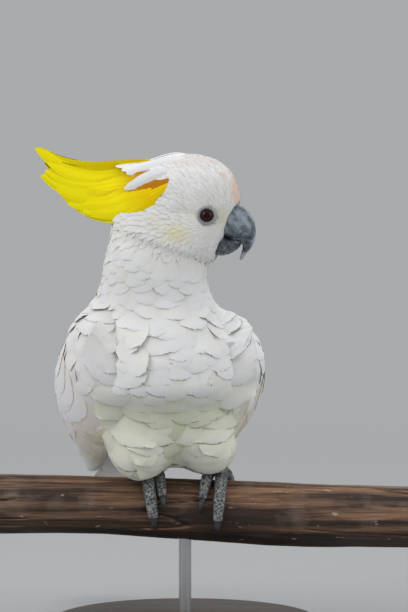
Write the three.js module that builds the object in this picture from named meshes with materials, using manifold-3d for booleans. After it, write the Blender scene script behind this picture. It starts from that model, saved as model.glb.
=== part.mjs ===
// A life-size sulphur-crested cockatoo, perched with its head turned to its left, on a
// cut length of branch that a display stand holds up. Millimetres, +Z up. The origin is
// the centre of the stand's underside. The breast looks towards -Y and a little to +X.
import * as THREE from "three";
import { mergeVertices } from "three/addons/utils/BufferGeometryUtils.js";
import Module from "manifold-3d";

const { Vector3, Matrix4, MathUtils } = THREE;
const wasm = await Module();
wasm.setup();

// ---------------------------------------------------------------- driving sizes
const GAP = 0.3; // clearance between neighbouring bodies
const SLACK = 0.06; // how far a cut face may be simplified, well inside the clearance
const FAR = 1e6;

const BASE = { radius: 108, height: 14, chamfer: 3, sides: 20 };
const ROD = { radius: 5, socket: 8, sides: 12 };
const PERCH = { y: -20, height: 104, radius: 25, left: -165, right: 195, sides: 16, steps: 11 };

// The trunk's own frame: x is the bird's left, y its back, z up.
const BIRD = { x: -18, yaw: 12 };
// The skull's frame, turned further to the left than the trunk.
const SKULL = { centre: [4, -44, 347], yaw: 80 };
const SHRUG = 4; // the right shoulder is held up by this, and the left one down
const BLEND = 20; // how far the lobes of flesh and plumage run into each other

const TRUNK = { rings: 10, sides: 24, centre: [0, 14, 200] };
const NECK = { rings: 6, sides: 22 };
const HEAD = { rings: 10, sides: 22 };
const EYE = { radius: 6.6, sunk: 4.6, forward: 15, up: -6.5 };

// ---------------------------------------------------------------- frames and fields
const rad = MathUtils.degToRad;

/** A frame at a point, turned by yaw about Z and then pitched about its own X, in degrees. */
function frame(origin, yaw = 0, pitch = 0) {
  return new Matrix4()
    .makeTranslation(...origin)
    .multiply(new Matrix4().makeRotationZ(rad(yaw)))
    .multiply(new Matrix4().makeRotationX(rad(pitch)));
}

const birdFrame = frame([BIRD.x, PERCH.y, 0], BIRD.yaw);
const skullFrame = frame(SKULL.centre, SKULL.yaw);
const worldFrame = new Matrix4();

/** The point at x, y, z of a frame, in the part's own frame. */
const at = (base, x, y, z) => new Vector3(x, y, z).applyMatrix4(base);

/** An ellipsoid of flesh and plumage, with an approximate signed distance. */
class Lobe {
  constructor(base, centre, radii, pitch = 0) {
    this.inverse = base.clone().multiply(frame(centre, 0, pitch)).invert();
    this.radii = new Vector3(...radii);
  }

  distance(p) {
    const q = p.clone().applyMatrix4(this.inverse).divide(this.radii);
    const reach = q.length();
    const slope = q.divide(this.radii).length();
    return slope < 1e-9 ? -Math.min(...this.radii) : (reach * (reach - 1)) / slope;
  }
}

const LOBES = [
  // trunk, as seen with its feathers on: barrel, breast, shoulders, belly and rump
  new Lobe(birdFrame, [0, 15, 206], [64, 57, 84], 44),
  new Lobe(birdFrame, [-1, -34, 222], [55, 38, 46], 0),
  new Lobe(birdFrame, [-5, 14, 248], [66, 44, 37], 0),
  new Lobe(birdFrame, [0, -6, 172], [55, 42, 35], 0),
  new Lobe(birdFrame, [0, 74, 164], [38, 46, 28], -30),
  // neck
  new Lobe(worldFrame, [-24, -32, 284], [43, 42, 38], 0),
  new Lobe(worldFrame, [-25, -40, 312], [38, 38, 36], 0),
  // head: skull, nape, cheeks and chin
  new Lobe(skullFrame, [0, -2, 8], [29, 40, 35.5], 0),
  new Lobe(skullFrame, [0, 30, -4], [28, 30, 36], 0),
  new Lobe(skullFrame, [0, -3, -24], [27, 23, 21], 0),
];

/** The smaller of two distances, rounded where they meet. */
function smoothMin(a, b, blend) {
  const overlap = Math.max(blend - Math.abs(a - b), 0) / blend;
  return Math.min(a, b) - (overlap * overlap * blend) / 4;
}

/** Signed distance to the bird's outer surface, without wings, tail and legs. */
const body = (p) => LOBES.reduce((d, lobe) => smoothMin(d, lobe.distance(p), BLEND), FAR);

/** How far a ray from inside the body runs before it leaves the surface. */
function rayLength(from, direction) {
  const point = (r) => from.clone().addScaledVector(direction, r);
  const step = 3;
  let outer = step;
  while (body(point(outer)) < 0 && outer < 400) outer += step;
  let inner = outer - step;
  for (let i = 0; i < 14; i++) {
    const middle = (inner + outer) / 2;
    if (body(point(middle)) < 0) inner = middle;
    else outer = middle;
  }
  return inner;
}

// ---------------------------------------------------------------- solids
/** A closed body through rings of points, with a tip point past each end. */
function ringBody(rings, startTip, endTip) {
  const sides = rings[0].length;
  const points = [...rings.flat(), startTip, endTip];
  const start = points.length - 2;
  const end = points.length - 1;
  const last = (rings.length - 1) * sides;
  const index = [];
  for (let j = 0; j < sides; j++) {
    const k = (j + 1) % sides;
    index.push(start, k, j, end, last + j, last + k);
    for (let i = 0; i < rings.length - 1; i++) {
      const a = i * sides;
      const b = a + sides;
      index.push(a + j, a + k, b + k, a + j, b + k, b + j);
    }
  }
  const geometry = new THREE.BufferGeometry().setFromPoints(points).setIndex(index);
  return outwards(geometry);
}

/** The geometry with its faces turned to point out. */
function outwards(geometry) {
  const place = geometry.getAttribute("position");
  const corner = (n) => new Vector3().fromBufferAttribute(place, geometry.index.getX(n));
  let volume = 0;
  for (let n = 0; n < geometry.index.count; n += 3)
    volume += corner(n).dot(corner(n + 1).cross(corner(n + 2)));
  if (volume < 0) geometry.setIndex([...geometry.index.array].reverse());
  return geometry;
}

/** A closed three.js geometry as a manifold-3d solid. */
function solid(geometry) {
  const bare = geometry.clone();
  bare.deleteAttribute("normal");
  bare.deleteAttribute("uv");
  const merged = mergeVertices(bare, 1e-4);
  return new wasm.Manifold(
    new wasm.Mesh({
      numProp: 3,
      vertProperties: new Float32Array(merged.getAttribute("position").array),
      triVerts: new Uint32Array(merged.index.array),
    }),
  );
}

/** The largest piece of what is left of a solid after the others are cut from it. */
function cut(whole, ...others) {
  const rest = others.reduce((kept, other) => kept.subtract(other), whole);
  const largest = rest.decompose().reduce((a, b) => (a.volume() > b.volume() ? a : b));
  return largest.simplify(SLACK);
}

/** A manifold-3d solid as a three.js geometry. */
function geometryOf(made) {
  const mesh = made.getMesh();
  return new THREE.BufferGeometry()
    .setAttribute("position", new THREE.BufferAttribute(mesh.vertProperties, 3))
    .setIndex(new THREE.BufferAttribute(mesh.triVerts, 1));
}

/** A smooth function through [t, value] keys, with t from 0 to 1. */
function keyed(keys) {
  const slope = (i) => {
    const a = keys[Math.max(i - 1, 0)];
    const b = keys[Math.min(i + 1, keys.length - 1)];
    return (b[1] - a[1]) / (b[0] - a[0]);
  };
  return (t) => {
    let i = 0;
    while (i < keys.length - 2 && t > keys[i + 1][0]) i++;
    const [t0, v0] = keys[i];
    const [t1, v1] = keys[i + 1];
    const span = t1 - t0;
    const s = MathUtils.clamp((t - t0) / span, 0, 1);
    const hermite = (1 + 2 * s) * (1 - s) ** 2 * v0 + s * (1 - s) ** 2 * span * slope(i);
    return hermite + s * s * (3 - 2 * s) * v1 + s * s * (s - 1) * span * slope(i + 1);
  };
}

/**
 * A feather-shaped or limb-shaped body along a curve. At t of the curve the section is
 * across(t) wide to each side, bulge(t) thick outwards and depth(t) inwards, and its
 * edges bend inwards by wrap(t). outward(t, tangent) is the way its outer face looks, and
 * the ends stand out by point, a share of their thickness.
 */
function leaf(shape) {
  const { curve, across, bulge, depth, wrap = () => 0, outward, steps, sides } = shape;
  const { grow = 0, point = 0.4 } = shape;
  const ring = (t) => {
    const centre = curve.getPoint(t);
    const tangent = curve.getTangent(t);
    const out = outward(t, tangent);
    out.addScaledVector(tangent, -out.dot(tangent)).normalize();
    const side = new Vector3().crossVectors(tangent, out);
    return Array.from({ length: sides }, (_, j) => {
      const angle = (2 * Math.PI * j) / sides;
      const v = Math.cos(angle);
      const w = Math.sin(angle);
      const lift = (w > 0 ? bulge(t) : depth(t)) + grow;
      return centre
        .clone()
        .addScaledVector(side, v * (across(t) + grow))
        .addScaledVector(out, w * lift - wrap(t) * v * v);
    });
  };
  const rings = Array.from({ length: steps + 1 }, (_, i) => ring(i / steps));
  const past = (t, sign) =>
    curve.getPoint(t).addScaledVector(curve.getTangent(t), sign * (point * depth(t) + grow));
  return solid(ringBody(rings, past(0, -1), past(1, 1)));
}

/** A curve through points given in a frame. */
const curveIn = (base, points) =>
  new THREE.CatmullRomCurve3(points.map((p) => at(base, ...p)), false, "centripetal");

// ---------------------------------------------------------------- head, neck and trunk
/** A plane that parts two pieces of the body: a point on it and its upward normal. */
const parting = (point, normal) => ({ point, normal: normal.normalize() });
const collar = parting(at(birdFrame, -14, -12, 262), new Vector3(-0.1, -0.3, 0.95));
const jawline = parting(new Vector3(-19, -42, 318), new Vector3(0.33, 0, 0.944));

/** Two unit vectors that span a plane, the first close to a reference. */
function spanning(normal, reference) {
  const first = reference.clone().addScaledVector(normal, -reference.dot(normal)).normalize();
  return [first, new Vector3().crossVectors(normal, first)];
}

/** A dome of the body's surface round a centre, flat where a parting plane cuts it. */
function dome({ centre, plane, outwardSign, rings, sides, reference }) {
  const floor = plane.point.clone().addScaledVector(plane.normal, (outwardSign * GAP) / 2);
  const pole = plane.normal.clone().multiplyScalar(outwardSign);
  const [e1, e2] = spanning(pole, reference);
  const height = centre.clone().sub(floor).dot(pole);
  const heading = (azimuth, polar) =>
    pole
      .clone()
      .multiplyScalar(Math.cos(polar))
      .addScaledVector(e1, Math.sin(polar) * Math.cos(azimuth))
      .addScaledVector(e2, Math.sin(polar) * Math.sin(azimuth));
  const spokes = Array.from({ length: sides }, (_, j) => {
    const azimuth = (2 * Math.PI * j) / sides;
    const surface = (polar) => {
      const way = heading(azimuth, polar);
      return centre.clone().addScaledVector(way, rayLength(centre, way));
    };
    let above = Math.PI / 4;
    let below = Math.PI * 0.97;
    for (let i = 0; i < 16; i++) {
      const middle = (above + below) / 2;
      const way = heading(azimuth, middle);
      if (height + rayLength(centre, way) * Math.cos(middle) > 0) above = middle;
      else below = middle;
    }
    const spoke = Array.from({ length: rings }, (_, i) => surface((above * (i + 1)) / rings));
    spoke[rings - 1].addScaledVector(pole, -spoke[rings - 1].clone().sub(floor).dot(pole));
    return spoke;
  });
  const hoops = Array.from({ length: rings }, (_, i) => spokes.map((spoke) => spoke[i]));
  const top = centre.clone().addScaledVector(pole, rayLength(centre, pole));
  const middle = centre.clone().addScaledVector(pole, -height);
  return solid(ringBody(hoops, top, middle));
}

/** The body's surface between two parting planes. */
function sleeve({ lower, upper, rings, sides, reference }) {
  const hoops = Array.from({ length: rings }, (_, i) => {
    const t = i / (rings - 1);
    const normal = lower.normal.clone().lerp(upper.normal, t).normalize();
    const inset = (GAP / 2) * (1 - 2 * t);
    const middle = lower.point.clone().lerp(upper.point, t).addScaledVector(normal, inset);
    const [e1, e2] = spanning(normal, reference);
    return Array.from({ length: sides }, (_, j) => {
      const angle = (2 * Math.PI * j) / sides;
      const way = e1.clone().multiplyScalar(Math.cos(angle)).addScaledVector(e2, Math.sin(angle));
      return middle.clone().addScaledVector(way, rayLength(middle, way));
    });
  });
  const heart = (hoop) =>
    hoop.reduce((sum, p) => sum.add(p), new Vector3()).divideScalar(hoop.length);
  return solid(ringBody(hoops, heart(hoops[0]), heart(hoops[rings - 1])));
}

const sideways = new Vector3(1, 0, 0);
const wholeTrunk = dome({
  ...TRUNK,
  centre: at(birdFrame, ...TRUNK.centre),
  plane: collar,
  outwardSign: -1,
  reference: sideways,
});
const wholeNeck = sleeve({ ...NECK, lower: collar, upper: jawline, reference: sideways });
const wholeHead = dome({
  ...HEAD,
  centre: at(skullFrame, 0, 4, -4),
  plane: jawline,
  outwardSign: 1,
  reference: sideways,
});

// ---------------------------------------------------------------- wings and tail
/** A folded wing, from its wrist at the breast to the tip over the tail. side is 1 or -1. */
function wing(side, grow = 0) {
  const curve = curveIn(
    birdFrame,
    [
      [53, -43, 250, 1],
      [63, -22, 234, 1],
      [67, 14, 206, 0.4],
      [52, 74, 176, 0],
      [26, 130, 149, 0],
      [11, 196, 119, 0],
    ].map(([x, y, z, shrug]) => [x * side, y, z - side * shrug * SHRUG]),
  );
  const roll = keyed([[0, 4], [0.3, -4], [0.5, 8], [0.65, 26], [0.8, 48], [1, 62]]);
  return leaf({
    curve,
    across: keyed([[0, 12], [0.1, 34], [0.27, 51], [0.45, 50], [0.7, 31], [0.9, 17], [1, 6]]),
    bulge: keyed([[0, 5], [0.12, 15], [0.3, 17], [0.55, 11], [0.8, 5], [1, 2]]),
    depth: keyed([[0, 5], [0.15, 12], [0.4, 12], [0.7, 6], [1, 2]]),
    wrap: keyed([[0, 3], [0.2, 16], [0.45, 18], [0.7, 8], [1, 1]]),
    outward: (t) => {
      const tilt = rad(roll(t));
      return new Vector3(side * Math.cos(tilt), 0, Math.sin(tilt)).transformDirection(birdFrame);
    },
    steps: 12,
    sides: 14,
    grow,
  });
}

/** The tail, a shallow fan with a rounded end. */
function tail(grow = 0) {
  return leaf({
    curve: curveIn(birdFrame, [[0, 58, 168], [0, 120, 136], [0, 190, 100], [0, 246, 72]]),
    across: keyed([[0, 20], [0.3, 27], [0.8, 37], [0.95, 33], [1, 22]]),
    bulge: keyed([[0, 9], [0.3, 7], [0.7, 3], [1, 1]]),
    depth: keyed([[0, 14], [0.3, 7], [0.7, 2], [1, 0.8]]),
    wrap: keyed([[0, 4], [1, 5]]),
    outward: () => new Vector3(0, 0.4, 0.9).transformDirection(birdFrame),
    steps: 9,
    sides: 12,
    grow,
  });
}

// ---------------------------------------------------------------- crest
/** One crest feather in the skull's frame: y is back and z up. side sets its lateral place. */
function plume({ points, width, tilt, side }, grow = 0) {
  return leaf({
    curve: curveIn(skullFrame, points.map(([x, y, z]) => [x * side, y, z])),
    across: keyed([[0, width * 0.45], [0.35, width * 0.9], [0.65, width], [0.9, width * 0.7], [1, 1]]),
    bulge: keyed([[0, 2.6], [0.5, 1.6], [1, 0.5]]),
    depth: keyed([[0, 2.6], [0.5, 1.2], [1, 0.5]]),
    outward: () =>
      new Vector3(side * Math.cos(rad(tilt)), 0, Math.sin(rad(tilt))).transformDirection(skullFrame),
    steps: 5,
    sides: 6,
    grow,
  });
}

const PLUMES = [
  // the long top feather, then the pairs below it, each shorter and set further out
  {
    points: [[0, 12, 30], [1, 34, 31], [1, 58, 28], [1, 84, 27], [1, 104, 33], [1, 122, 47]],
    width: 7,
    tilt: 20,
  },
  {
    points: [[3, 14, 27], [4, 40, 24], [4, 70, 20], [4, 96, 22], [4, 114, 29]],
    width: 6.5,
    tilt: 25,
  },
  {
    points: [[5, 16, 23], [8, 38, 13], [7, 66, 9], [6, 92, 11], [5, 119, 24]],
    width: 9,
    tilt: 20,
  },
  {
    points: [[7, 18, 18], [12, 36, 4], [10, 62, -3], [8, 84, -4]],
    width: 7.5,
    tilt: 15,
  },
];
const feathers = PLUMES.flatMap((feather, n) =>
  (n ? [1, -1] : [1]).map((side) => ({ ...feather, side })),
);
const crestOf = (grow) =>
  feathers.map((feather) => plume(feather, grow)).reduce((a, b) => a.add(b));

// ---------------------------------------------------------------- bill
// Both mandibles are drawn in the skull's midplane as [forward, up] points. The ridge of the
// upper one is an arc round a centre, down to the hooked tip.
const CULMEN = { forward: 30, up: -18.5, reach: 22.3, rise: 23, arc: [66, 42, 18, -6, -30, -52] };
const UPPER_BILL = {
  root: [26, 6],
  tip: [41.4, -40.4],
  cuttingEdge: [[18, -14], [25, -20], [30.5, -24], [36, -26], [41, -26.4]],
  hook: [[42.8, -29.5], [42.4, -34], [40.6, -40]],
};

/** A mandible: sections between an upper and a lower edge curve in the skull's midplane. */
function mandible({ upper, lower, halfWidth, steps, sides, grow = 0 }) {
  const edge = (points) => curveIn(skullFrame, points.map(([forward, up]) => [0, -forward, up]));
  const top = edge(upper);
  const bottom = edge(lower);
  const lateral = new Vector3(1, 0, 0).transformDirection(skullFrame);
  const rings = Array.from({ length: steps + 1 }, (_, i) => {
    const t = i / steps;
    const a = top.getPoint(t);
    const b = bottom.getPoint(t);
    const middle = a.clone().lerp(b, 0.5);
    const half = a.clone().sub(middle);
    half.setLength(half.length() + grow);
    return Array.from({ length: sides }, (_, j) => {
      const angle = (2 * Math.PI * j) / sides;
      const wide = Math.sign(Math.sin(angle)) * Math.abs(Math.sin(angle)) ** 0.8;
      return middle
        .clone()
        .addScaledVector(half, Math.cos(angle))
        .addScaledVector(lateral, wide * (halfWidth(t) + grow));
    });
  });
  const heart = (ring) => ring.reduce((sum, p) => sum.add(p), new Vector3()).divideScalar(sides);
  return solid(ringBody(rings, heart(rings[0]), heart(rings[steps])));
}

const onCulmen = (degrees) => [
  CULMEN.forward + CULMEN.reach * Math.cos(rad(degrees)),
  CULMEN.up + CULMEN.rise * Math.sin(rad(degrees)),
];
const upperBill = (grow = 0) =>
  mandible({
    upper: [UPPER_BILL.root, ...CULMEN.arc.map(onCulmen), UPPER_BILL.tip],
    lower: [...UPPER_BILL.cuttingEdge, ...UPPER_BILL.hook],
    halfWidth: keyed([[0, 10], [0.25, 9.6], [0.5, 8], [0.75, 4.6], [0.9, 2.4], [1, 0.7]]),
    steps: 11,
    sides: 12,
    grow,
  });
const lowerBill = (grow = 0) =>
  mandible({
    upper: [[14, -20], [24, -22.5], [32, -26.5], [40.5, -27.5]],
    lower: [[12, -34], [24, -37.5], [33, -35.4], [38.6, -31.8], [41, -28.3]],
    halfWidth: keyed([[0, 9], [0.5, 8.6], [0.85, 6.6], [1, 5]]),
    steps: 7,
    sides: 10,
    grow,
  });

// ---------------------------------------------------------------- eyes
/** Where the eyeball's centre sits, a little under the surface of the face. */
function eyePlace(side) {
  const inside = at(skullFrame, 0, -EYE.forward, EYE.up);
  const way = new Vector3(side, -0.12, 0.04).normalize().transformDirection(skullFrame);
  return inside.clone().addScaledVector(way, rayLength(inside, way) - EYE.sunk);
}

function eyeball(side, grow = 0) {
  const ball = new THREE.SphereGeometry(EYE.radius + grow, 10, 8);
  return solid(ball.translate(...eyePlace(side)));
}

// ---------------------------------------------------------------- perch and stand
/** The height of the perch's centreline: nearly level, with one easy step down to the right. */
const perchHeight = (x) => PERCH.height - 5.5 * Math.tanh((x - 12) / 90);
/** The perch's radius at x, a little uneven round and along. */
const perchRadius = (x, angle) =>
  PERCH.radius + 0.6 * Math.sin(x / 37) + 0.004 * x + 0.5 * Math.sin(2 * angle + x / 60);
/** A point at a distance from the perch's centreline, with angle 0 on top, growing to the front. */
const roundPerch = (x, angle, distance) =>
  new Vector3(x, PERCH.y - Math.sin(angle) * distance, perchHeight(x) + Math.cos(angle) * distance);

function perch(grow = 0) {
  const rings = Array.from({ length: PERCH.steps + 1 }, (_, i) => {
    const x = MathUtils.lerp(PERCH.left, PERCH.right, i / PERCH.steps);
    return Array.from({ length: PERCH.sides }, (_, j) => {
      const angle = (2 * Math.PI * j) / PERCH.sides;
      return roundPerch(x, angle, perchRadius(x, angle) + grow);
    });
  });
  return solid(ringBody(rings, roundPerch(PERCH.left, 0, 0), roundPerch(PERCH.right, 0, 0)));
}

const rodTop = perchHeight(0) - PERCH.radius + ROD.socket;
function rod(grow = 0) {
  const bottom = BASE.height - ROD.socket;
  const post = new THREE.CylinderGeometry(
    ROD.radius + grow,
    ROD.radius + grow,
    rodTop - bottom + 2 * grow,
    ROD.sides,
  );
  return solid(post.rotateX(Math.PI / 2).translate(0, PERCH.y, (rodTop + bottom) / 2));
}

function standBase() {
  const { radius, height, chamfer, sides } = BASE;
  const profile = [
    [0, 0],
    [radius - 1, 0],
    [radius, 1],
    [radius, height - chamfer],
    [radius - chamfer, height],
    [0, height],
  ].map(([r, z]) => new THREE.Vector2(r, z));
  return solid(outwards(mergeVertices(bareLathe(profile, sides))).rotateX(Math.PI / 2));
}

/** A lathe geometry with only its positions, so that its seam can be merged. */
function bareLathe(profile, sides) {
  const lathe = new THREE.LatheGeometry(profile, sides);
  lathe.deleteAttribute("normal");
  lathe.deleteAttribute("uv");
  return lathe;
}

// ---------------------------------------------------------------- legs and feet
// Each foot has two toes over the front of the perch and two over the back. x is where the
// foot's centre is, and each toe says where it starts and ends along the perch from there,
// how far round it reaches, in degrees from the top, and how thick it is at its root.
const FEET = {
  left: {
    x: 25,
    side: 1,
    thigh: { centre: [32.5, -18, 160], radii: [27, 33, 33] },
    toes: [
      { name: "1", from: -4, to: -9, reach: -62, thick: 4.2, claw: 24 },
      { name: "2", from: -5, to: -11, reach: 64, thick: 4.5, claw: 26 },
      { name: "3", from: 5, to: 1, reach: 98, thick: 5.0, claw: 30 },
      { name: "4", from: 6, to: 15, reach: -88, thick: 4.8, claw: 27 },
    ],
  },
  right: {
    x: -27,
    side: -1,
    thigh: { centre: [-22.5, -18, 159], radii: [27, 33, 33] },
    toes: [
      { name: "1", from: 4, to: 8, reach: -62, thick: 4.2, claw: 24 },
      { name: "2", from: 5, to: 9, reach: 64, thick: 4.5, claw: 26 },
      { name: "3", from: -5, to: 2, reach: 100, thick: 5.0, claw: 30 },
      { name: "4", from: -6, to: -13, reach: -88, thick: 4.8, claw: 27 },
    ],
  },
};
const LIFT = 0.5; // how far toes and claws stay off the bark
const TOE_START = 4; // degrees from the top of the perch to where a toe leaves the foot's ball
const CLAW_START = 1.8; // degrees round the perch from a toe's end to its claw

function thigh({ thigh: { centre, radii } }, grow = 0) {
  const ball = new THREE.SphereGeometry(1, 12, 8);
  ball.scale(...radii.map((r) => r + grow));
  return solid(ball.applyMatrix4(birdFrame.clone().multiply(frame(centre, 0, 12))));
}

/** A round limb along a curve, with a radius that follows thick(t). */
function limb(curve, thick, steps, sides, grow = 0, point = 0.4) {
  const reference = new Vector3(1, 0, 0.02);
  return leaf({
    curve,
    across: thick,
    bulge: thick,
    depth: thick,
    outward: () => reference.clone(),
    steps,
    sides,
    grow,
    point,
  });
}

/** The shank, from inside the thigh down to the ball of the foot on the perch. */
function tarsus({ x, side, thigh: { centre } }, grow = 0) {
  const knee = at(birdFrame, centre[0] + side * 2, centre[1] + 14, centre[2] + 2);
  const ball = roundPerch(x, 0, perchRadius(x, 0) + 7.2);
  const ankle = ball.clone().lerp(knee, 0.35);
  const curve = new THREE.CatmullRomCurve3([knee, ankle, ball]);
  return limb(curve, keyed([[0, 5], [0.5, 5.4], [0.85, 6.6], [1, 5.6]]), 6, 8, grow);
}

/** The part of a toe's or claw's path round the perch between two angles, in degrees. */
function grip(foot, toe, startAngle, endAngle, radius) {
  const points = Array.from({ length: 7 }, (_, i) => {
    const t = i / 6;
    const angle = rad(MathUtils.lerp(startAngle, endAngle, t));
    const spread = MathUtils.clamp(angle / rad(toe.reach), 0, 1.3);
    const x = foot.x + MathUtils.lerp(toe.from, toe.to, spread);
    return roundPerch(x, angle, perchRadius(x, angle) + LIFT + radius(t));
  });
  return new THREE.CatmullRomCurve3(points);
}

function toeOf(foot, toe, grow = 0) {
  const thick = keyed([[0, toe.thick], [0.6, toe.thick * 0.92], [1, toe.thick * 0.72]]);
  const path = grip(foot, toe, Math.sign(toe.reach) * TOE_START, toe.reach, thick);
  return limb(path, thick, 6, 7, grow, 0);
}

/** A claw, which starts a clearance past the end of its toe. */
function clawOf(foot, toe) {
  const thick = keyed([[0, toe.thick * 0.56], [0.3, toe.thick * 0.52], [1, 0.5]]);
  const away = (t) => thick(t) + 1.2 * Math.sin(Math.PI * t);
  const way = Math.sign(toe.reach);
  const path = grip(foot, toe, toe.reach + way * CLAW_START, toe.reach + way * toe.claw, away);
  return limb(path, thick, 5, 6, 0, 0);
}

// ---------------------------------------------------------------- assembly
const PAINT = {
  plumage: new THREE.MeshStandardMaterial({ color: 0xf3f1ec, roughness: 0.9 }),
  yellow: new THREE.MeshStandardMaterial({ color: 0xf2d51c, roughness: 0.85 }),
  horn: new THREE.MeshStandardMaterial({ color: 0x3c3f45, roughness: 0.5 }),
  skin: new THREE.MeshStandardMaterial({ color: 0x55565a, roughness: 0.8 }),
  eye: new THREE.MeshStandardMaterial({ color: 0x2a0f0b, roughness: 0.1 }),
  wood: new THREE.MeshStandardMaterial({ color: 0x6b452f, roughness: 0.85 }),
  base: new THREE.MeshStandardMaterial({ color: 0x2b2724, roughness: 0.5 }),
  metal: new THREE.MeshStandardMaterial({ color: 0x8d8f92, roughness: 0.35, metalness: 1 }),
};
const cockatoo = new THREE.Group();

/** Adds a solid to the model as a named mesh. */
function add(name, made, material) {
  const mesh = new THREE.Mesh(geometryOf(made), material);
  mesh.name = name;
  cockatoo.add(mesh);
}

const wings = { left: [wing(1), wing(1, GAP)], right: [wing(-1), wing(-1, GAP)] };
const bothWings = [wings.left[1], wings.right[1]];
const grownTail = tail(GAP);
const grownThighs = Object.values(FEET).map((foot) => thigh(foot, GAP));
const grownShanks = Object.values(FEET).map((foot) => tarsus(foot, GAP));
const grownToes = Object.values(FEET).flatMap((foot) =>
  foot.toes.map((toe) => toeOf(foot, toe, GAP)),
);
const grownPerch = perch(LIFT);
const grownCrest = crestOf(GAP);
const grownUpperBill = upperBill(GAP);

const grownLegs = [...grownThighs, ...grownShanks, ...grownToes];

add("trunk", cut(wholeTrunk, ...bothWings, grownTail, ...grownLegs, grownPerch), PAINT.plumage);
add("neck", cut(wholeNeck, ...bothWings), PAINT.plumage);
add(
  "head",
  cut(wholeHead, eyeball(1, GAP), eyeball(-1, GAP), grownUpperBill, lowerBill(GAP), grownCrest),
  PAINT.plumage,
);
add("crest", crestOf(0), PAINT.yellow);
add("bill_upper", upperBill(), PAINT.horn);
add("bill_lower", cut(lowerBill(), grownUpperBill), PAINT.horn);
add("eye_left", eyeball(1), PAINT.eye);
add("eye_right", eyeball(-1), PAINT.eye);
add("tail", cut(tail(), ...bothWings), PAINT.plumage);

for (const [name, foot] of Object.entries(FEET)) {
  add(`wing_${name}`, wings[name][0], PAINT.plumage);
  add(
    `thigh_${name}`,
    cut(thigh(foot), ...bothWings, grownTail, grownPerch, ...grownShanks, ...grownToes),
    PAINT.plumage,
  );
  add(`tarsus_${name}`, tarsus(foot), PAINT.skin);
  const earlier = [tarsus(foot, GAP)];
  for (const toe of foot.toes) {
    add(`toe_${name}_${toe.name}`, cut(toeOf(foot, toe), ...earlier), PAINT.skin);
    add(`claw_${name}_${toe.name}`, clawOf(foot, toe), PAINT.horn);
    earlier.push(toeOf(foot, toe, GAP));
  }
}

add("perch", cut(perch(), rod(GAP)), PAINT.wood);
add("stand_rod", rod(), PAINT.metal);
add("stand_base", cut(standBase(), rod(GAP)), PAINT.base);

export default cockatoo;
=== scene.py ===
"""A life-size sulphur-crested cockatoo, perched on a cut length of branch with its head
turned to its left, and the plain display stand that holds the branch up.

Everything is in metres, in the solid model's own frame: +Z is up and the breast looks
towards -Y. Sizes that a maker would name are written in millimetres and multiplied by MM.
"""

import logging
import math
from contextlib import contextmanager
from dataclasses import dataclass, field
from enum import Enum
from functools import cache
from typing import Callable, Iterator, Sequence

import bmesh
import bpy
import numpy as np
from mathutils import Matrix, Vector, noise
from mathutils.bvhtree import BVHTree


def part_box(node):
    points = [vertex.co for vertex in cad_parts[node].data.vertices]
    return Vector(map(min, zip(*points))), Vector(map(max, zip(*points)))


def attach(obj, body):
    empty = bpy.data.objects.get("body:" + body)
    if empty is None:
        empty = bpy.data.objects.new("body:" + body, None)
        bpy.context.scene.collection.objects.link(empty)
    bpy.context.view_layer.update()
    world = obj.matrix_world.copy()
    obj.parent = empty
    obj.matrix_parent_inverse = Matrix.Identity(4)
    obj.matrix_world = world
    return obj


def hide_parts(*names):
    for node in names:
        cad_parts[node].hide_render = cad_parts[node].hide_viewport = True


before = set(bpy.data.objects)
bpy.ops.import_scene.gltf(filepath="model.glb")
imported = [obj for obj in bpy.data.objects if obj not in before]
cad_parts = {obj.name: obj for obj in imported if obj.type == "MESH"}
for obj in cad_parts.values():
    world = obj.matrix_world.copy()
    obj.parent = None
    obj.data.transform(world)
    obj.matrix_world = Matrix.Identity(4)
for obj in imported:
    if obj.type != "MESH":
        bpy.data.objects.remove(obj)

log = logging.getLogger("cockatoo")

MM = 0.001
SEED = 41
BAKE_MAP = "OFBake"
BAKE_PATCH = 0.003  # the side of one feather's patch on the bake map
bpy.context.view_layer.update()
MERGE = 0.02 * MM  # how near loose corners are merged

Colour = tuple[float, float, float]
Keys = tuple[tuple[float, float], ...]
Array, Chance = np.ndarray, np.random.Generator
Piece, Node, Tree, Socket = bpy.types.Object, bpy.types.Node, bpy.types.NodeTree, bpy.types.NodeSocket


class Side(Enum):
    """The bird's own left and right. The value is the sign of its left-hand axis."""

    LEFT = 1
    RIGHT = -1

    @property
    def word(self) -> str:
        """The side's name in lower case, as the solid nodes spell it."""
        return self.name.lower()


# ---- numbers and frames
def smooth(edge0: float, edge1: float, value):
    """Rises smoothly from 0 at edge0 to 1 at edge1.

    Args:
        edge0: Where the rise starts.
        edge1: Where the rise ends.
        value: A number or an array.

    Returns:
        The eased share, of the same kind as value.
    """
    share = np.clip((value - edge0) / (edge1 - edge0), 0.0, 1.0)
    return share * share * (3.0 - 2.0 * share)


def keyed(keys: Keys, value):
    """Reads a smooth curve through keys.

    Args:
        keys: Pairs of place and height, with places in rising order.
        value: A place, or an array of places.

    Returns:
        The height at each place, eased between the keys on both sides of it.
    """
    places = np.array([place for place, _ in keys])
    heights = np.array([height for _, height in keys])
    slopes = np.gradient(heights, places)
    at = np.clip(value, places[0], places[-1])
    index = np.clip(np.searchsorted(places, at, side="right") - 1, 0, len(keys) - 2)
    span = places[index + 1] - places[index]
    s = (at - places[index]) / span
    rise = (1 + 2 * s) * (1 - s) ** 2 * heights[index] + s * (1 - s) ** 2 * span * slopes[index]
    fall = s * s * (3 - 2 * s) * heights[index + 1] + s * s * (s - 1) * span * slopes[index + 1]
    return rise + fall


def lengths(rows: Array) -> Array:
    """How far along the line through some points each of them is."""
    return np.concatenate([[0.0], np.cumsum(np.linalg.norm(np.diff(rows, axis=0), axis=1))])


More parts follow.
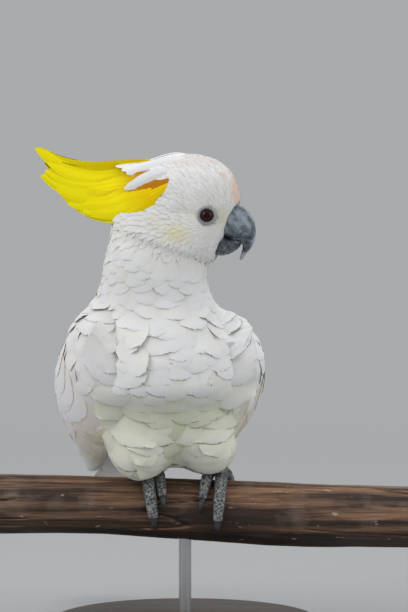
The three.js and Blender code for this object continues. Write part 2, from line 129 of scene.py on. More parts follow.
def through(points: Sequence[Vector], count: int) -> list[Vector]:
    """Places points evenly on a smooth curve through a few given ones.

    Args:
        points: The points that the curve passes through.
        count: How many points to return, both ends included.

    Returns:
        The points along the curve.
    """
    knots = rows_of(points)
    along = lengths(knots)
    wanted = np.linspace(0.0, along[-1], count)
    axes = [keyed(list(zip(along, knots[:, k])), wanted) for k in range(3)]
    return [Vector(p) for p in zip(*axes)]


@dataclass(frozen=True)
class LocalFrame:
    """A turned frame of the bird's: x is its left, y its back and z up, in millimetres."""

    origin: Vector
    yaw: float

    @property
    def matrix(self) -> Matrix:
        """The frame's matrix, from millimetres in it to metres in the model."""
        return Matrix.Translation(self.origin) @ Matrix.Rotation(self.yaw, 4, "Z") @ Matrix.Scale(MM, 4)

    def point(self, x: float, y: float, z: float) -> Vector:
        """The model's point at x, y, z millimetres in this frame."""
        return self.matrix @ Vector((x, y, z))

    def way(self, x: float, y: float, z: float) -> Vector:
        """The unit direction x, y, z of this frame, in the model."""
        return (Matrix.Rotation(self.yaw, 3, "Z") @ Vector((x, y, z))).normalized()

    def at(self, point: Vector) -> Array:
        """One point of the model, in this frame's millimetres."""
        return self.local(rows_of([point]))[0]

    def local(self, points: Array) -> Array:
        """Points of the model, in this frame's millimetres."""
        inverse = np.array(self.matrix.inverted())
        return points @ inverse[:3, :3].T + inverse[:3, 3]


def centre_of(node: str) -> Vector:
    """The middle of a solid node's box."""
    low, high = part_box(node)
    return (low + high) / 2


def skull_frame() -> LocalFrame:
    """The skull's frame, found from where the two eyes are."""
    left, right = centre_of("eye_left"), centre_of("eye_right")
    across = left - right
    yaw = math.atan2(across.y, across.x)
    frame_at_eyes = LocalFrame((left + right) / 2, yaw)
    return LocalFrame(frame_at_eyes.point(0.0, 17.6, 5.7), yaw)


SKULL = skull_frame()
BODY = LocalFrame(Vector((-18 * MM, -20 * MM, 0.0)), math.radians(12))
BODY_AXIS = 8.0  # how far the body's upright axis stands behind its frame's, in millimetres


# ---- work in edit mode
def deselect_all() -> None:
    """Leaves object mode with nothing selected."""
    if bpy.context.object and bpy.context.object.mode != "OBJECT":
        bpy.ops.object.mode_set(mode="OBJECT")
    bpy.ops.object.select_all(action="DESELECT")


def focus(piece: Piece) -> None:
    """Selects one object alone and makes it the active one."""
    deselect_all()
    piece.select_set(True)
    bpy.context.view_layer.objects.active = piece


@contextmanager
def editing(piece: Piece, action: str = "SELECT") -> Iterator[None]:
    """Edit mode on one piece, with all of it selected, or none with the action DESELECT."""
    focus(piece)
    bpy.ops.object.mode_set(mode="EDIT")
    bpy.ops.mesh.select_all(action=action)
    yield
    bpy.ops.object.mode_set(mode="OBJECT")


def named(name: str) -> Piece:
    """Names the active object and its mesh, and returns it."""
    piece = bpy.context.object
    piece.name = piece.data.name = name
    return piece


def started(name: str, kind: str, **settings) -> Piece:
    """Adds a primitive at its size and place, with its object at the origin.

    Args:
        name: The new object's name.
        kind: The kind of primitive.
        settings: Its operator's settings.

    Returns:
        The object, with its place and turn in its mesh.
    """
    deselect_all()
    getattr(bpy.ops.mesh, f"primitive_{kind}_add")(**settings)
    piece = named(name)
    focus(piece)
    bpy.ops.object.transform_apply(location=True, rotation=True, scale=True)
    return piece


def modify(piece: Piece, kind: str, **settings) -> None:
    """Adds a modifier of a kind with some settings and applies it."""
    focus(piece)
    modifier = piece.modifiers.new(kind.title(), kind)
    for name, value in settings.items():
        setattr(modifier, name, value)
    bpy.ops.object.modifier_apply(modifier=modifier.name)


def read(rows, name: str, width: int = 0, kind: type = float) -> Array:
    """Reads one property of all of a mesh's vertices, corners or faces.

    Args:
        rows: The mesh's collection.
        name: The property.
        width: How many numbers each item has, or 0 for one number.
        kind: The kind of number.

    Returns:
        A number or a row for each item.
    """
    found = np.empty(len(rows) * max(width, 1), kind)
    rows.foreach_get(name, found)
    return found.reshape(-1, width) if width else found


def places(piece: Piece) -> Array:
    """The places of a mesh's vertices, one row each."""
    return read(piece.data.vertices, "co", 3)


def outward(piece: Piece) -> Array:
    """The unit normals of a mesh's vertices, one row each."""
    return read(piece.data.vertices, "normal", 3)


def rows_of(points: Sequence[Vector]) -> Array:
    """Vectors as an array, one row each."""
    return np.array([tuple(point) for point in points])


def move_to(piece: Piece, points: Array) -> None:
    """Moves a mesh's vertices to new places, one row each."""
    piece.data.vertices.foreach_set("co", points.astype(np.float32).ravel())
    piece.data.update()


def sculpt(piece: Piece, height: Callable[[Vector, Vector], float]) -> Array:
    """Raises each vertex of a mesh along its normal.

    Args:
        piece: The mesh object.
        height: Gives the rise in metres from a vertex's place and normal.

    Returns:
        The rise of each vertex.
    """
    points, normals = places(piece), outward(piece)
    rises = np.array([height(Vector(p), Vector(n)) for p, n in zip(points, normals)])
    move_to(piece, points + normals * rises[:, None])
    return rises


def shade(piece: Piece, angle: float) -> None:
    """Shades a mesh smooth, apart from edges sharper than an angle in degrees."""
    focus(piece)
    bpy.ops.object.shade_smooth_by_angle(angle=math.radians(angle))


def loft(name: str, rings: Sequence[Sequence[Vector]]) -> Piece:
    """Builds a closed body by extruding a filled circle from ring to ring.

    Args:
        name: The new object's name.
        rings: Rings of points, all with the same number of points, in order.

    Returns:
        The body, with its faces pointing out.
    """
    piece = started(name, "circle", vertices=len(rings[0]), radius=MM, fill_type="NGON")
    with editing(piece):
        for number, ring in enumerate(rings):
            if number:
                bpy.ops.mesh.extrude_region_move()
            shell = bmesh.from_edit_mesh(piece.data)
            layers = shell.verts.layers.int
            order = layers["ring"] if number else layers.new("ring")
            chosen = [v for v in shell.verts if v.select]
            if not number:
                chosen.sort(key=lambda v: math.atan2(v.co.y, v.co.x) % math.tau)
                for place, vertex in enumerate(chosen):
                    vertex[order] = place
            for vertex, point in zip(sorted(chosen, key=lambda v: v[order]), ring):
                vertex.co = point
            bmesh.update_edit_mesh(piece.data)
        bpy.ops.mesh.select_all(action="SELECT")
        bpy.ops.mesh.normals_make_consistent(inside=False)
    return piece


def paint(piece: Piece, name: str, values: Array) -> None:
    """Stores a value, or a colour of three, for each vertex of a mesh.

    Args:
        piece: The mesh object.
        name: The attribute's name.
        values: One number, or one row of three, for each vertex.
    """
    if values.ndim == 1:
        layer = piece.data.attributes.new(name, "FLOAT", "POINT")
        layer.data.foreach_set("value", values.astype(np.float32))
        return
    layer = piece.data.attributes.new(name, "FLOAT_COLOR", "POINT")
    rows = np.concatenate([values, np.ones((len(values), 1))], axis=1)
    layer.data.foreach_set("color", rows.astype(np.float32).ravel())


def fit(piece: Piece, finish: "Finish", slot: str, replaces: Sequence[str] = ()) -> None:
    """Dresses a finished piece and joins it to the frame.

    Args:
        piece: The finished piece.
        finish: What it is finished with.
        slot: The record's material slot for it; not used.
        replaces: The solid nodes that it stands for.
    """
    piece.data.materials.clear()
    piece.data.materials.append(finish.material())
    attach(piece, "root")
    if replaces:
        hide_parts(*replaces)
    log.info("%s: %d faces", piece.name, len(piece.data.polygons))


def copy_of(node: str) -> Piece:
    """A copy of a solid node with its own mesh, its loose triangles merged."""
    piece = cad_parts[node].copy()
    piece.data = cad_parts[node].data.copy()
    piece.name = f"{node}_copy"
    piece.parent = None
    for key in list(piece.keys()):
        del piece[key]
    bpy.context.collection.objects.link(piece)
    piece.hide_render = False
    piece.hide_set(False)
    with editing(piece):
        bpy.ops.mesh.remove_doubles(threshold=MERGE)
        bpy.ops.mesh.customdata_custom_splitnormals_clear()
    return piece


def joined(pieces: Sequence[Piece], name: str) -> Piece:
    """Joins pieces into one object."""
    focus(pieces[0])
    for piece in pieces:
        piece.select_set(True)
    if len(pieces) > 1:
        bpy.ops.object.join()
    return named(name)


def refined(pieces: Sequence[Piece], name: str, voxel: float, passes: int) -> Piece:
    """Runs pieces together into one finely and evenly faced body.

    Args:
        pieces: Closed meshes, which are used up.
        name: The body's name.
        voxel: The size of its faces.
        passes: How often it is smoothed.

    Returns:
        The body.
    """
    body = joined(pieces, name)
    modify(body, "REMESH", mode="VOXEL", voxel_size=voxel)
    modify(body, "SMOOTH", factor=0.5, iterations=passes)
    return body


def tree_of(piece: Piece) -> BVHTree:
    """A search tree over a piece's faces."""
    shape = bmesh.new()
    shape.from_mesh(piece.data)
    tree = BVHTree.FromBMesh(shape)
    shape.free()
    return tree


# ---- colours and markings
class Tone(Enum):
    """The named colours of the bird, and of the light and shade painted on it, as linear red, green and
    blue.
    """

    WHITE = (0.825, 0.825, 0.83)
    SHADE = (0.50, 0.50, 0.43)
    STRAW = (0.78, 0.70, 0.36)
    PEACH = (0.86, 0.56, 0.42)
    AMBER = (0.72, 0.36, 0.03)
    YELLOW = (0.88, 0.62, 0.004)
    LEMON = (0.96, 0.83, 0.008)
    BLUSH = (0.70, 0.65, 0.63)
    OCHRE = (0.58, 0.45, 0.25)
    BARE = (0.25, 0.28, 0.33)
    RUST = (0.52, 0.20, 0.012)
    # Painted shade: the lower belly, darker and greener.
    BELLY = (0.74, 0.75, 0.63)
    # Painted light: the cool lavender cast of the light on the bird's right wing.
    WING = (0.79, 0.775, 0.80)
    LID = (0.17, 0.19, 0.22)

    @property
    def array(self) -> Array:
        """The colour as an array."""
        return np.array(self.value)


@dataclass(frozen=True)
class Spot:
    """A soft patch of colour on the coat, in the skull's frame and in millimetres.

    It is mirrored to both sides of the head unless its centre is on the midplane.
    """

    tone: Tone
    centre: tuple[float, float, float]
    radii: tuple[float, float, float]
    strength: float
    both: bool = True

    def share(self, local: Array) -> Array:
        """How much of the patch's colour each point has, from 0 to 1."""
        at = local.copy()
        if self.both:
            at[:, 0] = np.abs(at[:, 0])
        reach = np.linalg.norm((at - np.array(self.centre)) / np.array(self.radii), axis=1)
        return self.strength * (1.0 - smooth(0.55, 1.1, reach))


SPOTS = (
    Spot(Tone.STRAW, (25, 9, -21), (14, 16, 12.5), 0.66),
    Spot(Tone.STRAW, (27, 24, -14), (12, 12, 12), 0.22),
    Spot(Tone.BLUSH, (0, 0, 42), (28, 40, 17), 0.8),
    Spot(Tone.PEACH, (0, -37, 14), (17, 12, 13), 0.60),
    Spot(Tone.PEACH, (0, -30, 26), (12, 8, 8), 0.30),
    Spot(Tone.AMBER, (-13, -15, 31), (5, 4.6, 4), 0.95, both=False),
    Spot(Tone.AMBER, (-12, -27, 27), (4, 4, 3), 0.45, both=False),
    Spot(Tone.SHADE, (27, 5, -1), (12, 15, 3.4), 0.3),
    Spot(Tone.STRAW, (17, -27, -6), (9, 6, 12), 0.30),
)


def marked(points: Array) -> Array:
    """The one scheme of colours that the skin and every feather take, with the light and shade painted on
    them.

    Args:
        points: Places on the bird, one row each.

    Returns:
        One colour for each place.
    """
    colours = np.tile(Tone.WHITE.array, (len(points), 1))
    x, y, z = BODY.local(points).T
    # Painted shade: the lower belly and the thighs, darker and greener towards the bottom.
    belly = smooth(-25, 25, 190 - z) * smooth(68, 54, np.abs(x))
    belly = (belly * smooth(90, 55, y))[:, None]
    colours += (Tone.BELLY.array - colours) * belly * 0.8
    # Painted shade: a warm dark band just under the breast's overhang, and down the parting between the
    # thighs.
    ahead = smooth(30, 0, y) * smooth(52, 36, np.abs(x))
    ledge = np.exp(-(((z - 182) / 10) ** 2))
    parting_shade = np.exp(-((x / 7) ** 2)) * smooth(195, 180, z)
    colours *= 1.0 - (ahead * np.maximum(ledge, parting_shade))[:, None] * np.array((0.18, 0.16, 0.29))
    # Along the lower front edge of each folded wing: streaks of the underwing's own tan, and painted shade
    # where the wing folds in.
    low_wing = smooth(46, 54, np.abs(x)) * smooth(45, 25, np.abs(y - 5))
    low_wing *= smooth(28, 14, np.abs(z - 160)) * (0.32 + 0.28 * np.sin(x / 1.3))
    colours += (Tone.OCHRE.array - colours) * low_wing[:, None]
    # Painted light: the bird's right wing takes a cool lavender cast of the light, a little darker than
    # white.
    right_wing_cast = (smooth(40, 62, -x) * smooth(150, 200, z))[:, None]
    colours += (Tone.WING.array - colours) * right_wing_cast * 0.7
    local = SKULL.local(points)
    for spot in SPOTS:
        colours += (spot.tone.array - colours) * spot.share(local)[:, None]
    return colours


# ---- shared shader groups
Looks = dict[str, object]


class Nodes:
    """A node tree under construction, with short ways to add and link nodes."""

    def __init__(self, tree: Tree) -> None:
        """Starts on a tree, which it empties."""
        self.tree = tree
        tree.nodes.clear()

    def feed(self, node: Node, **inputs) -> None:
        """Links outputs to a node's inputs, or sets the inputs' own values.

        Args:
            node: The node.
            inputs: A value or an output for each input, by its number or its name, with
                spaces as underscores.
        """
        for name, value in inputs.items():
            socket = node.inputs[int(name) if name.isdigit() else name.replace("_", " ")]
            if isinstance(value, Socket):
                self.tree.links.new(value, socket)
            else:
                is_plain = socket.type == "RGBA" and len(value) == 3
                socket.default_value = (*value, 1.0) if is_plain else value

    def add(self, kind: str, **settings) -> Node:
        """Adds a node.

        Args:
            kind: The node's type, without its ShaderNode prefix.
            settings: Its properties, and with a leading "in_" its inputs as feed takes them.

        Returns:
            The node.
        """
        node = self.tree.nodes.new(kind if kind.startswith("Node") else "ShaderNode" + kind)
        inputs = {name[3:]: value for name, value in settings.items() if name.startswith("in_")}
        for name, value in settings.items():
            if not name.startswith("in_"):
                setattr(node, name, value)
        self.feed(node, **inputs)
        return node

    @property
    def place(self) -> Socket:
        """The surface's place in the model."""
        return self.add("TexCoord").outputs["Object"]

    def stored(self, name: str, kind: str = "Fac") -> Socket:
        """An attribute of the mesh, by its name."""
        return self.add("Attribute", attribute_name=name).outputs[kind]

    def math(self, operation: str, *values, clamp: bool = False) -> Socket:
        """The result of a Math node on values or links."""
        inputs = {f"in_{number}": value for number, value in enumerate(values)}
        return self.add("Math", operation=operation, use_clamp=clamp, **inputs).outputs[0]

    def span(self, value, low: float, high: float, to_low=0.0, to_high=1.0) -> Socket:
        """A value's place between low and high, clamped and put between two others."""
        inputs = zip(range(5), (value, low, high, to_low, to_high))
        return self.add("MapRange", **{f"in_{key}": given for key, given in inputs}).outputs[0]

    def noise(self, vector, scale, detail: float = 4.0, rough: float = 0.55) -> Socket:
        """The value of a noise texture."""
        settings = {"in_Scale": scale, "in_Detail": detail, "in_Roughness": rough}
        return self.add("TexNoise", in_Vector=vector, **settings).outputs[0]

    def joint(self, x, y, z) -> Socket:
        """A vector of three values or links."""
        return self.add("CombineXYZ", in_0=x, in_1=y, in_2=z).outputs[0]

    def parts(self, vector) -> Sequence[Socket]:
        """The three values of a vector."""
        return self.add("SeparateXYZ", in_0=vector).outputs

    def length(self, vector) -> Socket:
        """The length of a vector."""
        return self.add("VectorMath", operation="LENGTH", in_0=vector).outputs["Value"]

    def blend(self, share, first, second, mode: str = "MIX") -> Socket:
        """Two colours mixed by a share."""
        colours = {"in_0": share, "in_6": first, "in_7": second}
        return self.add("Mix", data_type="RGBA", blend_type=mode, **colours).outputs[2]

    def toned(self, colour, level) -> Socket:
        """A colour times a level."""
        grey = self.add("CombineColor", in_0=level, in_1=level, in_2=level).outputs[0]
        return self.blend(1.0, colour, grey, "MULTIPLY")

    def relief(self, height, depth: float) -> Socket:
        """The normal that a height gives, with the relief's depth in metres."""
        return self.add("Bump", in_Strength=1.0, in_Distance=depth, in_Height=height).outputs[0]

    def mixed(self, output: str, share, first: Node, second: Node) -> None:
        """Puts out two shaders mixed by a share."""
        shaders = {"in_1": first.outputs[0], "in_2": second.outputs[0]}
        self.add(output, in_Surface=self.add("MixShader", in_0=share, **shaders).outputs[0])


def new_group(name: str, inputs: dict[str, float | None], outputs: Sequence[str]) -> tuple:
    """Starts a shader node group.

    Args:
        name: The group's name.
        inputs: The default of each float input by its name, or None for a vector input.
        outputs: The names of its float outputs.

    Returns:
        The nodes to build with, what the group is given, and its output node.
    """
    tree = bpy.data.node_groups.new(name, "ShaderNodeTree")
    for title, default in inputs.items():
        kind = "NodeSocketVector" if default is None else "NodeSocketFloat"
        socket = tree.interface.new_socket(title, in_out="INPUT", socket_type=kind)
        if default is not None:
            socket.default_value = default
    for title in outputs:
        tree.interface.new_socket(title, in_out="OUTPUT", socket_type="NodeSocketFloat")
    nodes = Nodes(tree)
    return nodes, nodes.add("NodeGroupInput").outputs, nodes.add("NodeGroupOutput")


@cache
def barbs_group() -> Tree:
    """A vane's barbs: fine slanting lines on both sides of a shaft, and a soft shaft line."""
    defaults = {"Vane": None, "Lines": 40.0, "Rake": 14.0, "Shaft": 0.03}
    nodes, given, result = new_group("Barbs", defaults, ("Lines", "Shaft"))
    parts = nodes.parts(given["Vane"])
    aside = nodes.math("ABSOLUTE", nodes.math("SUBTRACT", parts[0], 0.5))
    run = nodes.math("MULTIPLY", parts[1], given["Lines"])
    back = nodes.math("MULTIPLY", aside, given["Rake"])
    wobble = nodes.math("MULTIPLY", nodes.noise(given["Vane"], 5.0, 2.0), 1.2)
    phase = nodes.math("ADD", nodes.math("SUBTRACT", run, back), wobble)
    wave = nodes.math("SINE", nodes.math("MULTIPLY", phase, math.tau))
    shaft = nodes.math("SUBTRACT", 1.0, nodes.math("DIVIDE", aside, given["Shaft"]), clamp=True)
    nodes.feed(result, Lines=nodes.math("MULTIPLY_ADD", wave, 0.5, 0.5), Shaft=shaft)
    return nodes.tree


@cache
def powder_group() -> Tree:
    """Pale powder that clings in patches and flecks, as feather dust does on horn and skin."""
    defaults = {"Vector": None, "Patches": 120.0, "Flecks": 900.0, "Amount": 0.5}
    nodes, given, result = new_group("Powder", defaults, ("Mask",))
    patches = nodes.noise(given["Vector"], given["Patches"], 5.0, 0.6)
    flecks = nodes.noise(given["Vector"], given["Flecks"], 3.0, 0.7)
    both = nodes.math("ADD", patches, nodes.math("MULTIPLY", flecks, 0.45))
    above = nodes.math("SUBTRACT", both, nodes.math("SUBTRACT", 1.12, given["Amount"]))
    nodes.feed(result, Mask=nodes.math("MULTIPLY", above, 3.4, clamp=True))
    return nodes.tree


@cache
def grain_group() -> Tree:
    """Wood grain along X: long streaks, fine fibres and short pale nicks."""
    defaults = {"Vector": None, "Streaks": 60.0, "Stretch": 0.06}
    nodes, given, result = new_group("Grain", defaults, ("Streak", "Fibre", "Nick"))
    x, y, z = nodes.parts(given["Vector"])
    drawn = nodes.joint(nodes.math("MULTIPLY", x, given["Stretch"]), y, z)
    streak = nodes.noise(drawn, given["Streaks"], 6.0, 0.62)
    fibre = nodes.noise(drawn, nodes.math("MULTIPLY", given["Streaks"], 7.0), 4.0, 0.7)
    nick = nodes.noise(nodes.joint(nodes.math("MULTIPLY", x, 0.3), y, z), 260.0, 2.0)
    nodes.feed(result, Streak=streak, Fibre=fibre, Nick=nodes.span(nick, 0.69, 0.76))
    return nodes.tree


# ---- finishes
@dataclass(frozen=True)
class Finish:
    """A material. Each kind says how its colour, roughness and relief vary."""

    name: str

    def material(self) -> bpy.types.Material:
        """The material, built once."""
        if self.name in bpy.data.materials:
            return bpy.data.materials[self.name]
        made = bpy.data.materials.new(self.name)
        made.use_nodes = True
        nodes = Nodes(made.node_tree)
        shader = nodes.add("BsdfPrincipled")
        nodes.add("OutputMaterial", in_Surface=shader.outputs[0])
        nodes.feed(shader, **self.looks(nodes))
        return made

    def looks(self, nodes: Nodes) -> Looks:
        """What the shader is fed; each kind of finish has its own."""
        raise NotImplementedError


@dataclass(frozen=True)
class FeatherFinish(Finish):
    """Soft vane, tinted by its own colour attribute, with barbs from its vane map."""

    lines: float = 40.0
    rake: float = 14.0
    contrast: float = 0.05
    depth: float = 0.0001
    roughness: float = 0.72
    gloss: float = 0.2
    shaft: float = 0.03

    def looks(self, nodes: Nodes) -> Looks:
        """Tint, faint barb lines and a slightly brighter shaft."""
        vane = nodes.add("UVMap", uv_map="Vane").outputs[0]
        barbs = nodes.add("Group", node_tree=barbs_group(), in_Vane=vane)
        nodes.feed(barbs, Lines=self.lines, Rake=self.rake, Shaft=self.shaft)
        dark = nodes.math("MULTIPLY", barbs.outputs["Lines"], self.contrast)
        level = nodes.math("SUBTRACT", 1.0, dark)
        lit = nodes.math("MULTIPLY_ADD", barbs.outputs["Shaft"], self.contrast * 0.6, level)
        return dict(
            Base_Color=nodes.toned(nodes.stored("tint", "Color"), lit),
            Roughness=self.roughness,
            Specular_IOR_Level=self.gloss,
            Normal=nodes.relief(nodes.noise(nodes.place, 330.0, 2.0), self.depth),
        )


@dataclass(frozen=True)
class SkinFinish(Finish):
    """Thin skin with its own tints, mottled and finely pimpled or creased."""

    mottle: tuple[float, ...]
    pimples: tuple[float, ...]
    levels: tuple[float, float, float, float]
    depth: float
    roughness: float
    glow: float = 0.0

    def looks(self, nodes: Nodes) -> Looks:
        """Tint from its attribute, with mottling and relief."""
        place = nodes.place
        level = nodes.span(nodes.noise(place, *self.mottle), *self.levels)
        return dict(
            Base_Color=nodes.toned(nodes.stored("tint", "Color"), level),
            Roughness=self.roughness,
            Subsurface_Weight=self.glow,
            Subsurface_Radius=(1.0, 0.6, 0.5),
            Subsurface_Scale=0.001,
            Normal=nodes.relief(nodes.noise(place, *self.pimples), self.depth),
        )


COAT_SKIN = SkinFinish("thin_skin", (260.0,), (900.0, 2.0), (0.3, 0.7, 0.86, 1.0), 0.0002, 0.8)
CREASES = (1900.0, 3.0)
EYE_SKIN = SkinFinish("bare_eye_skin", CREASES, CREASES, (0.35, 0.65, 0.8, 1.06), 0.00016, 0.6, 0.15)


class EyeFinish(Finish):
    """The eyeball: a black pupil, a red-brown iris with fine rays, and a dark rim."""

    def looks(self, nodes: Nodes) -> Looks:
        """Colour by the share of the way from the pupil's centre, under a wet coat."""
        away = nodes.stored("away")
        rays = nodes.noise(nodes.place, 1500.0, 3.0, 0.7)
        iris = nodes.blend(nodes.span(rays, 0.35, 0.68), (0.014, 0.002, 0.002), (0.060, 0.007, 0.005))
        rim = nodes.blend(nodes.span(away, 0.80, 0.98), iris, (0.012, 0.006, 0.006))
        return dict(
            Base_Color=nodes.blend(nodes.span(away, 0.40, 0.47), (0.0025, 0.002, 0.002), rim),
            Roughness=nodes.span(rays, 0.3, 0.7, 0.10, 0.16),
            Specular_IOR_Level=0.0,
            Coat_Weight=0.8,
            Coat_Roughness=0.02,
            Coat_IOR=1.34,
        )


@dataclass(frozen=True)
class HornFinish(Finish):
    """Dark horn with growth lines, flaking and pale powder. Its rubbed edge is an attribute."""

    dark: Colour = (0.018, 0.022, 0.028)
    light: Colour = (0.115, 0.14, 0.17)
    dust: Colour = (0.33, 0.38, 0.44)
    amount: float = 0.60

    def looks(self, nodes: Nodes) -> Looks:
        """Mottled horn, powder where it is rubbed, and flaky relief."""
        place = nodes.place
        mottle = nodes.span(nodes.noise(place, 190.0, 5.0), 0.36, 0.66)
        horn = nodes.blend(mottle, self.dark, self.light)
        amount = nodes.math("MULTIPLY_ADD", nodes.stored("worn"), 0.42, self.amount - 0.2)
        powder = nodes.add("Group", node_tree=powder_group(), in_Vector=place, in_Amount=amount)
        nodes.feed(powder, Patches=170.0, Flecks=1300.0)
        mask = powder.outputs[0]
        flakes = nodes.noise(place, 520.0, 4.0, 0.65)
        return dict(
            Base_Color=nodes.blend(mask, horn, self.dust),
            Roughness=nodes.span(mask, 0.0, 0.6, 0.38, 0.66),
            Normal=nodes.relief(nodes.math("ADD", flakes, nodes.math("MULTIPLY", mask, 0.4)), 0.00025),
        )


@dataclass(frozen=True)
class ScaleFinish(Finish):
    """The feet's skin: dark grey scales with paler rims. The rims are an attribute."""

    dark: Colour = (0.022, 0.024, 0.028)
    rim: Colour = (0.34, 0.34, 0.34)
    dust: Colour = (0.36, 0.36, 0.36)

    def looks(self, nodes: Nodes) -> Looks:
        """Scales and rims from the geometry's own pattern, with dust over both."""
        place = nodes.place
        mottle = nodes.span(nodes.noise(place, 330.0), 0.35, 0.65)
        dark = nodes.blend(mottle, self.dark, tuple(c * 2.1 for c in self.dark))
        powder = nodes.add("Group", node_tree=powder_group(), in_Vector=place, in_Amount=0.46)
        nodes.feed(powder, Patches=150.0, Flecks=1500.0)
        mask = powder.outputs[0]
        scaled = nodes.blend(nodes.math("MULTIPLY", nodes.stored("rim"), 0.85), dark, self.rim)
        return dict(
            Base_Color=nodes.blend(nodes.math("MULTIPLY", mask, 0.32), scaled, self.dust),
            Roughness=nodes.span(mask, 0.0, 1.0, 0.55, 0.85),
            Normal=nodes.relief(nodes.noise(place, 1600.0, 2.0), 0.00012),
        )


class BranchFinish(Finish):
    """Weathered branch wood. The painted shade in its cracks and underneath comes from attributes of the
    shape.
    """

    def looks(self, nodes: Nodes) -> Looks:
        """Streaked brown wood, with painted shade in its cracks and underneath, and pale nicks."""
        place = nodes.place
        grain = nodes.add("Group", node_tree=grain_group(), in_Vector=place)
        nodes.feed(grain, Streaks=120.0, Stretch=0.045)
        long, fibre, nick = grain.outputs
        streak = nodes.span(long, 0.42, 0.61)
        tone = nodes.blend(streak, (0.040, 0.018, 0.010), (0.36, 0.195, 0.105))
        grey = nodes.span(nodes.noise(place, 38.0, 3.0), 0.50, 0.70, 0.0, 0.40)
        tone = nodes.blend(grey, tone, (0.30, 0.215, 0.16))
        tone = nodes.toned(tone, nodes.span(fibre, 0.38, 0.62, 0.62, 1.12))
        # Painted shade: near black underneath and in the cracks; the pale nicks are the wood's own marks.
        for mask, strength, colour in (
            (nodes.stored("under"), 0.88, (0.007, 0.004, 0.002)),
            (nodes.stored("crack"), 0.92, (0.012, 0.007, 0.005)),
            (nick, 0.7, (0.55, 0.44, 0.36)),
        ):
            tone = nodes.blend(nodes.math("MULTIPLY", mask, strength), tone, colour)
        return dict(
            Base_Color=tone,
            Roughness=nodes.span(streak, 0.0, 1.0, 0.62, 0.84),
            Normal=nodes.relief(nodes.math("ADD", long, fibre), 0.0009),
        )


@dataclass(frozen=True)
class SawnFinish(Finish):
    """The branch's sawn ends: pale wood with growth rings round a centre, and saw marks."""

    centre: tuple[float, float, float] = (0.0, 0.0, 0.0)
    ring: float = 0.0021

    def looks(self, nodes: Nodes) -> Looks:
        """Rings by distance from the pith, darker towards the bark."""
        place = nodes.place
        shift = nodes.add("Mapping", in_Vector=place, in_Location=tuple(-c for c in self.centre))
        _, y, z = nodes.parts(shift.outputs[0])
        flat = nodes.joint(0.0, y, z)
        away = nodes.length(flat)
        wavy = nodes.math("ADD", away, nodes.math("MULTIPLY", nodes.noise(flat, 90.0), 0.004))
        rings = nodes.math("SINE", nodes.math("MULTIPLY", wavy, math.tau / self.ring))
        tone = nodes.blend(nodes.span(rings, -1.0, 1.0), (0.30, 0.19, 0.11), (0.47, 0.33, 0.21))
        marks = nodes.noise(place, 700.0, 3.0)
        return dict(
            Base_Color=nodes.blend(nodes.span(away, 0.0205, 0.0245), tone, (0.06, 0.03, 0.018)),
            Roughness=nodes.span(marks, 0.3, 0.7, 0.6, 0.85),
            Normal=nodes.relief(nodes.math("ADD", marks, rings), 0.0002),
        )


class BoardFinish(Finish):
    """The stand's board: dark stained wood under satin lacquer."""

    def looks(self, nodes: Nodes) -> Looks:
        """Fine dark grain with a little variation in gloss."""
        grain = nodes.add("Group", node_tree=grain_group(), in_Vector=nodes.place)
        nodes.feed(grain, Streaks=95.0, Stretch=0.08)
        streak = nodes.span(grain.outputs["Streak"], 0.35, 0.66)
        wood = nodes.blend(streak, (0.028, 0.018, 0.013), (0.085, 0.050, 0.032))
        fibre = grain.outputs["Fibre"]
        return dict(
            Base_Color=nodes.toned(wood, nodes.span(fibre, 0.3, 0.5, 0.7, 1.0)),
            Roughness=nodes.span(streak, 0.0, 1.0, 0.36, 0.48),
            Normal=nodes.relief(fibre, 0.00012),
        )


class SteelFinish(Finish):
    """The stand's rod: brushed steel."""

    def looks(self, nodes: Nodes) -> Looks:
        """Brushing round the rod, in its gloss and relief."""
        x, y, z = nodes.parts(nodes.place)
        brush = nodes.noise(nodes.joint(x, y, nodes.math("MULTIPLY", z, 40.0)), 90.0, 4.0, 0.7)
        share = nodes.span(brush, 0.3, 0.7)
        return dict(
            Base_Color=nodes.blend(share, (0.42, 0.425, 0.43), (0.56, 0.56, 0.565)),
            Metallic=1.0,
            Roughness=nodes.span(brush, 0.3, 0.7, 0.26, 0.42),
            Normal=nodes.relief(brush, 0.00006),
        )


